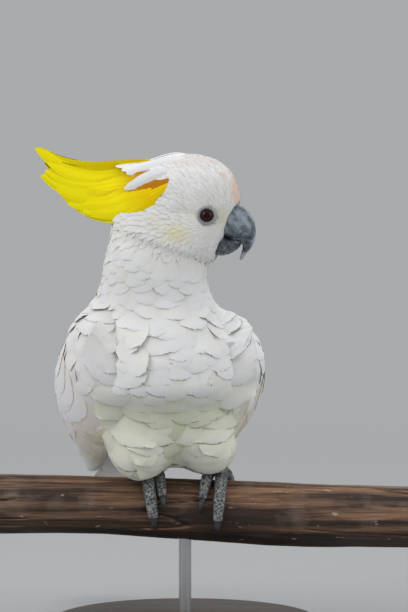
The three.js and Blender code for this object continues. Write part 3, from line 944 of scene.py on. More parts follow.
# ---- one feather, modelled once
@dataclass(frozen=True)
class Vane:
    """The shape of one kind of feather, for a length of 1 and a half width of 1.

    Across, u runs from -1 to 1; along, v runs from the root at 0 to the tip at 1.
    """

    name: str
    stations: int = 7
    strands: int = 9
    widths: Keys = ((0, 0.30), (0.35, 0.82), (0.7, 1.0), (1, 0.90))
    rounding: float = 0.34
    power: float = 2.2
    fray: float = 0.035
    thick: float = 0.025
    ridge: float = 0.03
    variants: int = 4

    def tip(self, u: float, teeth: Sequence[float], strand: int) -> float:
        """How far along the vane ends at u."""
        return 1.0 - self.rounding * abs(u) ** self.power + self.fray * teeth[strand]

    def ring(self, station: int, teeth: Sequence[float]) -> list[Vector]:
        """One ring of the vane's closed section: its upper strands, and its underside.

        Args:
            station: The ring's number, from the root.
            teeth: How far each strand's tip stands out, from -1 to 1.

        Returns:
            The ring's points.
        """
        share = station / self.stations
        along = 1.0 - (1.0 - share) ** 1.35
        width = float(keyed(self.widths, along))
        points = []
        for strand in range(self.strands):
            u = -1.0 + 2.0 * strand / (self.strands - 1)
            shaft = self.ridge * max(0.0, 1.0 - abs(u) * 4.0) * (1.0 - along)
            v = along * self.tip(u, teeth, strand)
            points.append(Vector((u * width, v, shaft + self.thick * (1.0 - u * u) * 0.5)))
        middle = self.strands // 2
        below = along * self.tip(0.0, teeth, middle)
        points.append(Vector((0.0, below, -self.thick * (0.5 + self.ridge) * (1.2 - along))))
        return points

    def model(self) -> list["Template"]:
        """Models the feather in a few variants, each with its own frayed tip."""
        chance = np.random.default_rng(SEED + len(self.name))
        made = []
        for number in range(self.variants):
            signs = np.where(np.arange(self.strands) % 2 == 0, 1.0, -1.0)
            teeth = signs * chance.uniform(0.1, 1.0, self.strands) + chance.normal(0, 0.4, self.strands)
            rings = [self.ring(station, teeth) for station in range(self.stations + 1)]
            piece = loft(f"{self.name}_{number}", rings)
            made.append(Template.taken_from(piece))
        return made


UNDERSIDE = -1e-4  # below this a template's point is on the feather's underside


@dataclass
class Template:
    """A modelled feather as arrays, ready to be copied many times."""

    points: Array
    corners: Array
    starts: Array
    upper: Array

    @classmethod
    def taken_from(cls, piece: Piece) -> "Template":
        """Reads a modelled feather and removes its object.

        Args:
            piece: The modelled feather.

        Returns:
            Its points, the vertex of each face corner, where each face's corners start, and
            which faces are on its upper side.
        """
        mesh = piece.data
        corners = read(mesh.loops, "vertex_index", kind=int)
        starts = read(mesh.polygons, "loop_start", kind=int)
        points = places(piece)
        low = points[:, 2] < UNDERSIDE
        sides = [len(f.vertices) == 4 and not any(low[v] for v in f.vertices) for f in mesh.polygons]
        bpy.data.objects.remove(piece)
        bpy.data.meshes.remove(mesh)
        return cls(points, corners, starts, np.array(sides))


@dataclass
class Feather:
    """One feather as it lies: stations along its shaft, and how it is shaped and tinted."""

    shaft: list[Vector]
    rises: list[Vector]
    width: float
    root: Vector
    cup: float = 0.12
    roll: float = 0.0
    base: Array | None = None
    tip: Array | None = None
    turns: tuple[float, float] = (0.12, 0.52)
    edges: tuple[list[Vector], list[Vector]] | None = None


@dataclass
class Plumage:
    """A coat piece under construction: many copies of one kind of vane, joined."""

    name: str
    vane: Vane
    finish: FeatherFinish
    slot: str = "plumage"
    feathers: list[Feather] = field(default_factory=list)

    def build(self, skin: "Skin") -> Piece:
        """Joins all its feathers into one mesh, with its maps and tints, and dresses it.

        Args:
            skin: The skin they grow from, which gives the bake map's places.

        Returns:
            The finished piece.
        """
        chance = np.random.default_rng(SEED + len(self.feathers))
        templates = self.vane.model()
        picks = chance.integers(0, len(templates), len(self.feathers))
        gathered = []
        placed = seen = 0
        for number, template in enumerate(templates):
            chosen = [f for f, pick in zip(self.feathers, picks) if pick == number]
            if not chosen:
                continue
            count = len(chosen)
            shifts = (placed + np.arange(count) * len(template.points))[:, None]
            steps = (seen + np.arange(count) * len(template.corners))[:, None]
            across, along = template.points[template.corners, :2].T
            vane = np.stack([across * 0.5 + 0.5, along], axis=1)
            roots = np.array([skin.bake_place(f.root) for f in chosen])
            patch = (np.clip(vane, 0.0, 1.0) - 0.5) * BAKE_PATCH
            gathered.append(
                (
                    self.spread(template, chosen).reshape(-1, 3),
                    (template.corners + shifts).ravel(),
                    (template.starts + steps).ravel(),
                    np.tile(template.upper, count),
                    self.tint(template, chosen, chance).reshape(-1, 3),
                    np.tile(vane, (count, 1)),
                    (roots[:, None, :] + patch).reshape(-1, 2),
                )
            )
            placed += count * len(template.points)
            seen += count * len(template.corners)
        points, corners, starts, upper, tints, vanes, bakes = map(np.concatenate, zip(*gathered))
        mesh = bpy.data.meshes.new(self.name)
        mesh.vertices.add(len(points))
        mesh.loops.add(len(corners))
        mesh.polygons.add(len(starts))
        mesh.vertices.foreach_set("co", points.astype(np.float32).ravel())
        mesh.loops.foreach_set("vertex_index", corners.astype(np.int32))
        mesh.polygons.foreach_set("loop_start", starts.astype(np.int32))
        mesh.update(calc_edges=True)
        mesh.polygons.foreach_set("use_smooth", upper)
        edges = read(mesh.loops, "edge_index", kind=int)
        rim = np.zeros(len(mesh.edges), bool)
        rim[edges[~np.repeat(upper, np.diff(np.append(starts, len(edges))))]] = True
        mesh.attributes.new("sharp_edge", "BOOLEAN", "EDGE").data.foreach_set("value", rim)
        for title, rows in (("Vane", vanes), (BAKE_MAP, bakes)):
            layer = mesh.uv_layers.new(name=title)
            layer.data.foreach_set("uv", rows.astype(np.float32).ravel())
        piece = bpy.data.objects.new(self.name, mesh)
        bpy.context.collection.objects.link(piece)
        paint(piece, "tint", tints)
        fit(piece, self.finish, self.slot)
        log.info("%s: %d feathers", self.name, len(self.feathers))
        return piece

    @staticmethod
    def spread(template: Template, feathers: Sequence[Feather]) -> Array:
        """Lays a template along each feather's shaft.

        Args:
            template: The modelled feather.
            feathers: The feathers to make.

        Returns:
            The vertices of each feather, by feather, vertex and axis.
        """
        shaft = np.array([rows_of(f.shaft) for f in feathers])
        rise = np.array([rows_of(f.rises) for f in feathers])
        count = shaft.shape[1]
        ahead = np.gradient(shaft, axis=1)
        across = np.cross(ahead, rise)
        across /= np.maximum(np.linalg.norm(across, axis=2, keepdims=True), 1e-12)
        up = np.cross(across, ahead)
        up /= np.maximum(np.linalg.norm(up, axis=2, keepdims=True), 1e-12)
        rolls = np.array([f.roll for f in feathers])[:, None, None]
        across, up = across * np.cos(rolls) + up * np.sin(rolls), up * np.cos(rolls) - across * np.sin(rolls)
        at = template.points[:, 1] * (count - 1)
        low = np.clip(np.floor(at).astype(int), 0, count - 2)
        share = (at - low)[None, :, None]
        between = lambda rows: rows[:, low] * (1.0 - share) + rows[:, low + 1] * share
        half = np.array([f.width for f in feathers])[:, None, None] / 2
        cup = np.array([f.cup for f in feathers])[:, None, None]
        side, bow = across * half, up * (-cup * half)
        if feathers[0].edges:
            left, right = (np.array([rows_of(f.edges[k]) for f in feathers]) for k in (0, 1))
            side, bow = (right - left) / 2, (right + left) / 2 - shaft
        u = template.points[None, :, 0, None]
        thick = template.points[None, :, 2, None] * half
        return between(shaft) + between(side) * u + between(bow) * u**2 + between(up) * thick

    @staticmethod
    def tint(template: Template, feathers: Sequence[Feather], chance) -> Array:
        """The colour of each vertex of each feather, from root to tip.

        Args:
            template: The modelled feather.
            feathers: The feathers to make.
            chance: The random source.

        Returns:
            The colours, by feather, vertex and channel.
        """
        base = np.array([f.base for f in feathers])[:, None, :]
        tip = np.array([f.tip for f in feathers])[:, None, :]
        v = template.points[None, :, 1, None]
        u = np.abs(template.points[None, :, 0, None])
        start, end = np.array([f.turns for f in feathers]).T[:, :, None, None]
        # On the body's feathers the cream base is partly their own colour and partly painted warm shade in
        # the gaps; the underside keeps more of it.
        outer = smooth(start, end, v - 0.10 * u)
        share = outer * np.where(template.points[None, :, 2, None] < UNDERSIDE, 0.7, 1.0)
        level = chance.normal(1.0, 0.018, (len(feathers), 1, 1))
        return np.clip((base + (tip - base) * share) * level, 0.0, 0.95)


# ---- the skin
class Region(Enum):
    """The parts of the flesh: the solid node of each, and its coat's depth in millimetres."""

    TRUNK = ("trunk", 5.2)
    NECK = ("neck", 4.2)
    HEAD = ("head", 1.6)
    TAIL = ("tail", 2.5)
    THIGH_LEFT = ("thigh_left", 5.5)
    THIGH_RIGHT = ("thigh_right", 5.5)
    WING_LEFT = ("wing_left", 3.4)
    WING_RIGHT = ("wing_right", 3.4)

    def __init__(self, node: str, depth: float) -> None:
        """Keeps the solid node, and how far the skin lies under its surface."""
        self.node, self.depth = node, depth


THIGHS = (Region.THIGH_LEFT, Region.THIGH_RIGHT)
WINGS = (Region.WING_LEFT, Region.WING_RIGHT)


@dataclass
class Skin:
    """The bird's one skin, which lies inside its solid shape by the depth of the coat."""

    voxel: float = 2.2 * MM
    flesh_end: float = 150.0
    passes: int = 10
    belly_passes: int = 110
    fold_depth: float = 2.0
    ledge_depth: float = 2.5

    def build(self) -> Piece:
        """Joins the flesh, closes its seams, draws it in under the coat and maps it."""
        copies = {region: copy_of(region.node) for region in Region}
        trees = {region: tree_of(piece) for region, piece in copies.items()}
        for region in (Region.TAIL, *WINGS):
            self.end_flesh(copies[region])
        piece = refined(list(copies.values()), "skin", self.voxel, self.passes)
        self.run_together(piece)
        points, normals = places(piece), outward(piece)
        regions = [min(Region, key=lambda r: trees[r].find_nearest(Vector(p))[3]) for p in points]
        depth = np.array([region.depth for region in regions]) * MM
        local = SKULL.local(points)
        face = smooth(40, 5, np.linalg.norm(local - np.array((0, -34, -10)), axis=1))
        in_head = np.array([region is Region.HEAD for region in regions])
        depth = np.where(in_head, depth * (1.0 - 0.45 * face), depth)
        move_to(piece, points - normals * depth[:, None])
        modify(piece, "SMOOTH", factor=0.5, iterations=4)
        sculpt(piece, self.folds)
        self.crease(piece)
        with editing(piece):
            bpy.ops.uv.smart_project(angle_limit=math.radians(66), island_margin=0.004)
        piece.data.uv_layers.active.name = BAKE_MAP
        paint(piece, "tint", marked(places(piece)) * np.array((0.94, 0.88, 0.74)))
        shade(piece, 60)
        self.piece = piece
        self.tree = tree_of(piece)
        self.regions = regions
        self.points, self.normals = places(piece), outward(piece)
        self.read_faces()
        fit(piece, COAT_SKIN, "plumage", [region.node for region in Region])
        return piece

    def run_together(self, piece: Piece) -> None:
        """Softens the hollows where the thighs leave the belly."""
        local = BODY.local(places(piece))
        weights = smooth(212, 190, local[:, 2]) * smooth(10, -8, local[:, 1])
        group = piece.vertex_groups.new(name="belly")
        for number in np.flatnonzero(weights > 0.01):
            group.add([int(number)], float(weights[number]), "REPLACE")
        modify(piece, "SMOOTH", factor=0.5, iterations=self.belly_passes, vertex_group="belly")

    def folds(self, point: Vector, normal: Vector) -> float:
        """The soft level folds of the belly and thighs, which fade out up the breast."""
        local = BODY.at(point)
        low = float(smooth(236, 196, local[2]) * smooth(40, 10, local[1]))
        drawn = Vector((point.x * 20, point.y * 20, point.z * 52))
        lumps = noise.noise(drawn) + 0.5 * noise.noise(drawn * 2.1 + Vector((7, 3, 1)))
        front = float(smooth(20, -5, local[1]) * smooth(56, 40, abs(local[0])))
        ledge = math.exp(-(((local[2] - 207) / 9) ** 2)) - 1.3 * math.exp(-(((local[2] - 189) / 8) ** 2))
        return MM * (self.fold_depth * lumps * (0.22 + 0.78 * low) + self.ledge_depth * ledge * front)

    def end_flesh(self, piece: Piece) -> None:
        """Cuts a wing or the tail where its flesh ends and only feathers go on."""
        cut, way = BODY.point(0, self.flesh_end, 0), BODY.way(0, 1, 0)
        with editing(piece):
            bpy.ops.mesh.bisect(plane_co=cut, plane_no=way, use_fill=True, clear_outer=True)

    def crease(self, piece: Piece) -> None:
        """Works fine folds into the skin of the face and throat."""

        def fold(point: Vector, normal: Vector) -> float:
            """A small rise or fall that is strongest near the bill."""
            near = float(smooth(46 * MM, 12 * MM, (point - SKULL.point(0, -26, -12)).length))
            return near * 0.35 * MM * noise.fractal(point * 210, 1.0, 2.1, 3)

        sculpt(piece, fold)

    def read_faces(self) -> None:
        """Keeps each face's corners and their places on the unwrap, for bake_place."""
        mesh = self.piece.data
        unwrap = read(mesh.uv_layers[BAKE_MAP].data, "uv", 2)
        self.faces = [tuple(face.vertices) for face in mesh.polygons]
        self.face_maps = [unwrap[f.loop_start : f.loop_start + f.loop_total] for f in mesh.polygons]

    def bake_place(self, point: Vector) -> Array:
        """A point's place on the skin's unwrap, weighted over its nearest face's corners."""
        spot, _, face, _ = self.tree.find_nearest(point)
        corners = self.points[list(self.faces[face])]
        near = 1.0 / (np.linalg.norm(corners - np.array(spot), axis=1) + 1e-6)
        place = (self.face_maps[face] * near[:, None]).sum(axis=0) / near.sum()
        return np.clip(place, BAKE_PATCH, 1.0 - BAKE_PATCH)


def height_of(points: Array) -> Array:
    """The heights of points over the floor, in millimetres."""
    return points[:, 2] / MM


# ---- how the coat lies
def lie_at(point: Vector) -> Vector:
    """The direction that a feather's tip points at a place on the bird.

    Args:
        point: The feather's root.

    Returns:
        A unit direction, still to be laid on the surface.
    """
    body = BODY.at(point)
    head = SKULL.at(point)
    away = Vector(head) - Vector((0.0, -24.0, -12.0))
    away.y += 10.0
    on_head = SKULL.way(*away)
    back = float(smooth(-10.0, 50.0, body[1]))
    low = float(smooth(175.0, 130.0, body[2]))
    beside = float(smooth(38.0, 60.0, abs(body[0])) * smooth(262.0, 235.0, body[2]))
    fan = 0.16 * body[0] / 60.0 * (1.0 - beside)
    on_body = BODY.way(fan, 0.05 + 0.55 * back + 0.5 * low + 0.5 * beside, -1.0 + 0.25 * back)
    share = float(smooth(-34.0, -6.0, head[2] + 0.35 * (-head[1] + 8.0) * (head[1] < 8.0)))
    share *= float(smooth(62.0, 40.0, head[1]))
    return (on_head * share + on_body * (1.0 - share)).normalized()


Trail = tuple[list[Vector], list[Vector]]


@dataclass(frozen=True)
class Ground:
    """A surface that feathers lie along, and the perch, which they may not enter."""

    tree: BVHTree
    perch: BVHTree
    gap: float = 0.8 * MM

    def walk(self, root: Vector, way: Vector, length: float, steps: int, cling: float) -> Trail:
        """Walks over the surface from a root.

        Args:
            root: Where the feather grows from.
            way: The direction it sets off in.
            length: How far it goes, in metres.
            steps: How many stations it has.
            cling: How closely it follows the surface, from 0 to 1.

        Returns:
            The stations and the surface's normals at them.
        """
        spot, normal, _, _ = self.tree.find_nearest(root)
        heading = (way - normal * way.dot(normal)).normalized()
        stations, normals = [spot.copy()], [normal.copy()]
        stride = length / (steps - 1)
        for _ in range(steps - 1):
            ahead = stations[-1] + heading * stride
            near, facing, _, gap = self.tree.find_nearest(ahead)
            hold = cling * max(0.0, 1.0 - gap / (stride * 1.6)) ** 0.5
            settled = ahead.lerp(near, hold)
            new_normal = normals[-1].lerp(facing, max(hold, 0.25 * cling)).normalized()
            heading = (settled - stations[-1]).normalized()
            heading = (heading - new_normal * heading.dot(new_normal) * hold).normalized()
            stations.append(settled)
            normals.append(new_normal)
        return stations, normals

    def bend(self, point: Vector, across: Vector, half: float) -> float:
        """How far a vane has to droop to follow the surface across.

        Args:
            point: A place over the surface.
            across: The unit direction across the vane.
            half: Half the vane's width, in metres.

        Returns:
            The droop of the vane's edges, as a share of its half width.
        """
        left = self.tree.find_nearest(point - across * half)[1]
        right = self.tree.find_nearest(point + across * half)[1]
        return (right - left).dot(across) / 4

    def clear(self, point: Vector) -> Vector:
        """Moves a point out of the perch, and a little clear of it."""
        near, facing, _, _ = self.perch.find_nearest(point)
        inside = (point - near).dot(facing)
        return point + facing * (self.gap - inside) if inside < self.gap else point


STATIONS = 11  # on each shaft of the body's coat
BENT_AT = 7  # the station at which a feather takes the surface's bend
TIP_AT = 9  # the station whose place gives the tip's colour


@dataclass(frozen=True)
class Tract:
    """A stretch of coat with one kind of feather. Sizes are in millimetres."""

    name: str
    regions: tuple[Region, ...]
    spacing: float
    length: float
    width: float
    low: float
    high: float
    cup: float = 0.04
    cling: float = 0.94
    stray: float = 6.0
    roll: float = 2.5
    columns: float = 0.0
    # The feathers' bases, tinted cream: their own colour, which also paints warm shade where it shows under
    # the tips of the row above.
    under: Colour = (0.965, 0.955, 0.90)
    level: float = 0.72
    dome: Keys = ((0, 0), (0.5, 0.5), (0.75, 0.84), (0.88, 1), (1, 0.86))
    scale: Keys | None = None
    along: Callable[[Array], Array] = height_of
    within: Callable[[Array], Array] = lambda points: np.ones(len(points), bool)

    def scatter(self, skin: Skin, chance: Chance) -> tuple[Array, ...]:
        """Chooses roots evenly over the tract's part of the skin.

        Args:
            skin: The skin.
            chance: The random source.

        Returns:
            Roots, their normals and the size of the feathers there.
        """
        wanted = np.array([region in self.regions for region in skin.regions])
        mesh = skin.piece.data
        mesh.calc_loop_triangles()
        corners = read(mesh.loop_triangles, "vertices", 3, int)
        corners = corners[wanted[corners].all(axis=1)]
        a, b, c = (skin.points[corners[:, k]] for k in range(3))
        cross = np.cross(b - a, c - a)
        areas = np.linalg.norm(cross, axis=1) / 2
        gap = self.spacing * MM
        tries = int((40.0 if self.columns else 16.0) * areas.sum() / gap**2)
        chosen = chance.choice(len(areas), tries, p=areas / areas.sum())
        s, t = chance.random(tries), chance.random(tries)
        over = s + t > 1
        s[over], t[over] = 1 - s[over], 1 - t[over]
        spots = a[chosen] + (b - a)[chosen] * s[:, None] + (c - a)[chosen] * t[:, None]
        facing = cross[chosen] / (2 * areas[chosen][:, None] + 1e-15)
        keep = self.within(spots) & (BODY.local(spots)[:, 1] < skin.flesh_end - 9.0)
        spots, facing = spots[keep], facing[keep]
        sizes = keyed(self.scale, self.along(spots)) if self.scale else np.ones(len(spots))
        rows = np.empty(0, int)
        if self.columns:
            steep = np.flatnonzero(np.abs(facing[:, 2]) < self.level)
            rows = steep[self.in_rows(spots[steep], sizes[steep], chance)]
            gap *= math.sqrt(self.columns / self.spacing)
        order = np.concatenate([rows, np.setdiff1d(np.arange(len(spots)), rows)])
        kept = order[self.thin_out(spots[order], sizes[order], gap, len(rows))]
        return spots[kept], facing[kept], sizes[kept]

    def in_rows(self, spots: Array, sizes: Array, chance: Chance) -> list[int]:
        """Keeps spots that make staggered level rows round the body, a little out of true.

        Args:
            spots: The candidates, many more than are kept.
            sizes: The size of the feathers there.
            chance: The random source.

        Returns:
            The numbers of the spots that are kept.
        """
        x, y, z = BODY.local(spots).T
        order = np.argsort(z)
        grid = np.linspace(z.min(), z.max(), 120)
        size_at = np.interp(grid, z[order], sizes[order])
        climbed = np.concatenate([[0.0], np.cumsum(np.diff(grid) / (self.spacing * size_at[1:]))])
        rows = np.interp(z, grid, climbed)
        turn = np.arctan2(x, BODY_AXIS - y)
        out = np.hypot(x, y - BODY_AXIS)
        kept = []
        for row in range(int(climbed[-1]) + 2):
            near = np.flatnonzero(np.abs(rows - row) < 0.6)
            if len(near) < 2:
                continue
            around = math.tau * out[near].mean() / (self.columns * sizes[near].mean())
            count = max(3, round(around))
            column = turn[near] / math.tau * count + 0.5 * (row % 2)
            nodes = np.round(column).astype(int) % count
            shift = chance.normal(0, 0.13, (count, 2))
            aside = (column - nodes + count / 2) % count - count / 2 - shift[nodes, 0]
            off = np.hypot(aside, rows[near] - row - shift[nodes, 1])
            for node in np.unique(nodes):
                here = np.flatnonzero(nodes == node)
                best = here[np.argmin(off[here])]
                if off[best] < 0.4:
                    kept.append(int(near[best]))
        return kept

    @staticmethod
    def thin_out(spots: Array, sizes: Array, gap: float, sure: int) -> list[int]:
        """Keeps spots that aren't too near one that is already kept.

        Args:
            spots: The candidates, in random order.
            sizes: How far apart they are, as a share of the gap.
            gap: The least distance at a size of 1.
            sure: How many of the first are kept in any case.

        Returns:
            The numbers of the spots that are kept.
        """
        cell = gap * float(sizes.max())
        grid: dict[tuple[int, ...], list[list[float]]] = {}
        around = [(i, j, k) for i in (-1, 0, 1) for j in (-1, 0, 1) for k in (-1, 0, 1)]
        kept = []
        keys = np.floor(spots / cell).astype(int).tolist()
        rows = zip(spots.tolist(), keys, sizes.tolist())
        for number, (spot, key, size) in enumerate(rows):
            near = (grid.get((key[0] + i, key[1] + j, key[2] + k), ()) for i, j, k in around)
            if number < sure or all(math.dist(spot, o) >= gap * size for spots in near for o in spots):
                grid.setdefault(tuple(key), []).append(spot)
                kept.append(number)
        return kept

    @staticmethod
    def is_crumpled(shaft: Sequence[Vector]) -> bool:
        """True where a shaft kinks or leaps, as it does over the gap between wing and trunk."""
        steps = [after - before for before, after in zip(shaft, shaft[1:])]
        longest = 1.7 * sum(step.length for step in steps) / len(steps)
        kinks = any(one.angle(two, math.pi) > 0.5 for one, two in zip(steps, steps[1:]))
        return kinks or any(step.length > longest for step in steps)

    def grow(self, plumage: Plumage, skin: Skin, ground: Ground) -> None:
        """Adds the tract's feathers to a coat piece.

        Args:
            plumage: The piece they join.
            skin: The skin that they grow from.
            ground: The surface that they lie along.
        """
        chance = np.random.default_rng(SEED + sum(map(ord, self.name)))
        spots, facing, sizes = self.scatter(skin, chance)
        grown = []
        for spot, normal, size in zip(spots, facing, sizes):
            root = Vector(spot)
            way = lie_at(root)
            way.rotate(Matrix.Rotation(math.radians(chance.normal(0, self.stray)), 3, Vector(normal)))
            length = self.length * MM * size * chance.uniform(0.9, 1.1)
            stations, normals = ground.walk(root, way, length, STATIONS, self.cling)
            low, high = self.low * MM, self.high * MM * size * chance.uniform(0.97, 1.03)
            shaft = []
            for number, (station, up) in enumerate(zip(stations, normals)):
                raised = low + (high - low) * float(keyed(self.dome, number / (STATIONS - 1)))
                shaft.append(ground.clear(station + up * raised))
            if self.is_crumpled(shaft):
                continue
            width = self.width * MM * size * chance.uniform(0.88, 1.12)
            across = (stations[BENT_AT + 1] - stations[BENT_AT - 1]).cross(normals[BENT_AT]).normalized()
            droop = ground.bend(stations[BENT_AT], across, width * 0.45)
            cup = self.cup + min(max(droop, -0.06), 0.5)
            roll = math.radians(chance.normal(0, self.roll))
            # The cream rises to just under the tip of the feather above, as painted warm shade along its
            # edge.
            grown.append(Feather(shaft, normals, width, root, cup, roll, turns=(0.62, 0.84)))
        for feather, tip in zip(grown, marked(rows_of([f.shaft[TIP_AT] for f in grown]))):
            feather.base, feather.tip = tip * np.array(self.under), tip
        plumage.feathers += grown


# ---- the body's coat
def trunk_front(points: Array) -> Array:
    """True where the trunk's skin belongs to the breast, belly and flanks."""
    x, y, z = BODY.local(points).T
    return (y < 34.0) & ~((np.abs(x) > 52.0) & (y > 2.0) & (z < 190.0))


def trunk_back(points: Array) -> Array:
    """True where the trunk's skin belongs to the back and rump, clear of the wings' edges."""
    x, y, z = BODY.local(points).T
    return (y >= 34.0) & ((np.abs(x) < 38.0) | (z > 195.0))


def wing_front(points: Array) -> Array:
    """True on the bend of the wing and the front of its outer face."""
    _, y, z = BODY.local(points).T
    return (y < 58.0) & (z > 176.0)


def off_eyes_and_bill(points: Array) -> Array:
    """True where the head's skin isn't bare round an eye or hidden in the bill."""
    x, y, z = SKULL.local(points).T
    clear = np.ones(len(points), bool)
    for side in Side:
        eye = SKULL.at(centre_of(f"eye_{side.word}"))
        clear &= ~((x * side.value > 8.0) & (np.hypot(y - eye[1], z - eye[2]) < 7.3))
    mouth = (y < -29.0) & (z < 1.0) & (np.abs(x) < 8.5)
    chin = (y < -22.0) & (z < -20.0) & (np.abs(x) < 8.0)
    return clear & ~mouth & ~chin


BILL_ROOT = (0.0, -28.0, -12.0)  # in the skull's frame


def from_bill(points: Array) -> Array:
    """Distance in millimetres from the middle of the bill's root."""
    return np.linalg.norm(SKULL.local(points) - np.array(BILL_ROOT), axis=1)


def face_only(points: Array) -> Array:
    """True on the face, where the feathers are smallest."""
    return off_eyes_and_bill(points) & (from_bill(points) < 34.0)


def crown_only(points: Array) -> Array:
    """True on the rest of the head, but for the sides of the crest's roots."""
    _, y, z = SKULL.local(points).T
    under = keyed(((11, 21), (16, 13), (28, 4), (42, -4), (54, -9)), y)
    above = keyed(((11, 25), (20, 30), (30, 29.5), (40, 26), (54, 18)), y)
    crest = (y > 12.0) & (y < 62.0) & (z > under) & (z < above)
    return off_eyes_and_bill(points) & (from_bill(points) >= 33.0) & ~crest


FACE_VANE = Vane("face_vane", 4, 5, ((0, 0.45), (0.4, 1), (1, 0.6)), 0.38, 1.8, 0.05, 0.04, 0.02, 4)
CROWN_VANE = Vane("crown_vane", 5, 9, ((0, 0.35), (0.5, 1), (1, 0.65)), 0.34, 1.9, 0.05, 0.03, 0.015)
NECK_VANE = Vane("neck_vane", 6, 31, rounding=0.20, fray=0.022, thick=0.02, ridge=0.01)
BREAST_VANE = Vane("breast_vane", 6, 45, rounding=0.14, power=2.3, fray=0.022, thick=0.02, ridge=0.01)
DOWNY_VANE = Vane("downy_vane", 6, 45, rounding=0.30, power=2.0, fray=0.035, thick=0.02, ridge=0.01)
FLIGHT_VANE = Vane("flight_vane", 12, 7, ((0, 0.35), (0.2, 0.9), (0.7, 1.0), (1, 0.62)), 0.16, 2.4, 0.004)
COVERT_VANE = Vane("covert_vane", 6, 17, rounding=0.24, power=2.3, fray=0.008, thick=0.008, ridge=0.004)
CREST_WIDTHS = ((0, 0.3), (0.25, 0.7), (0.6, 1.0), (0.85, 0.98), (1, 0.80))
CREST_VANE = Vane("crest_vane", 20, 11, CREST_WIDTHS, 0.26, 2.0, 0.004, 0.05, 0.05)

SOFT = FeatherFinish("soft_feather", lines=4, rake=60, contrast=0.03)
SMALL = FeatherFinish("small_feather", lines=2, rake=16, contrast=0.03)
FIRM = FeatherFinish("firm_feather", lines=6, rake=60, contrast=0.02, roughness=0.6)
QUILL = FeatherFinish("flight_feather", lines=90, rake=30, contrast=0.02, roughness=0.55)
PLUME = FeatherFinish("crest_feather", lines=60, rake=24, contrast=0.09, roughness=0.7, gloss=0.03)

# How the feathers grow in size with the distance from the bill, or with the height.
FACE_SCALE = ((0, 0.55), (14, 0.62), (24, 0.85), (36, 1.15))
CROWN_SCALE = ((30, 0.72), (45, 0.9), (62, 1.2), (80, 1.6))
NECK_SCALE = ((250, 1.35), (275, 1.15), (300, 0.95), (325, 0.72))
TRUNK_SCALE = ((120, 1.05), (200, 1.05), (245, 0.9), (275, 0.72))
HEAD, NECK, TRUNK, TAIL = (Region.HEAD,), (Region.NECK,), (Region.TRUNK,), (Region.TAIL,)
SMALL_LIE = dict(cup=0.05, cling=0.97, stray=4, roll=1, under=(0.96, 0.94, 0.88), along=from_bill)
FACE = Tract("face", HEAD, 1.5, 7.5, 3.3, 0.25, 0.85, scale=FACE_SCALE, within=face_only, **SMALL_LIE)
CROWN = Tract("crown", HEAD, 2.4, 13.5, 6.2, 0.3, 1.35, scale=CROWN_SCALE, within=crown_only, **SMALL_LIE)
THROAT = Tract("neck", NECK, 5.6, 25, 25, 0.5, 2.9, 0.11, 0.96, 7, 2, 14.5, scale=NECK_SCALE)
FRONT = dict(scale=TRUNK_SCALE, within=trunk_front)
BREAST = Tract("breast", TRUNK, 6.8, 32, 38, 0.8, 4.6, 0.19, 0.94, 6, 0.6, 20, **FRONT)
DOWN = Tract("thighs", THIGHS, 6.4, 28, 24, 0.8, 4.6, 0.19, 0.95, 5, 0.8, 13)
SHOULDERS = Tract("shoulders", WINGS, 8.0, 34, 27, 0.5, 2.4, 0.08, 0.97, 3, 0.6, 16, within=wing_front)
BACK = Tract("back", TRUNK, 9, 36, 30, 1.0, 4.6, 0.03, 0.95, 4, 1, 15, within=trunk_back)
RUMP = Tract("rump", TAIL, 9.0, 38, 22, 0.6, 3.0, 0.03, 0.92, 5, 1)
BODY_TRACTS = (
    ("coat_face", FACE_VANE, SMALL, (FACE,)),
    ("coat_crown", CROWN_VANE, SMALL, (CROWN,)),
    ("coat_neck", NECK_VANE, SOFT, (THROAT,)),
    ("coat_breast", BREAST_VANE, SOFT, (BREAST,)),
    ("coat_thighs", DOWNY_VANE, SOFT, (DOWN,)),
    ("coat_shoulders", COVERT_VANE, SOFT, (SHOULDERS,)),
    ("coat_back", COVERT_VANE, SOFT, (BACK, RUMP)),
)


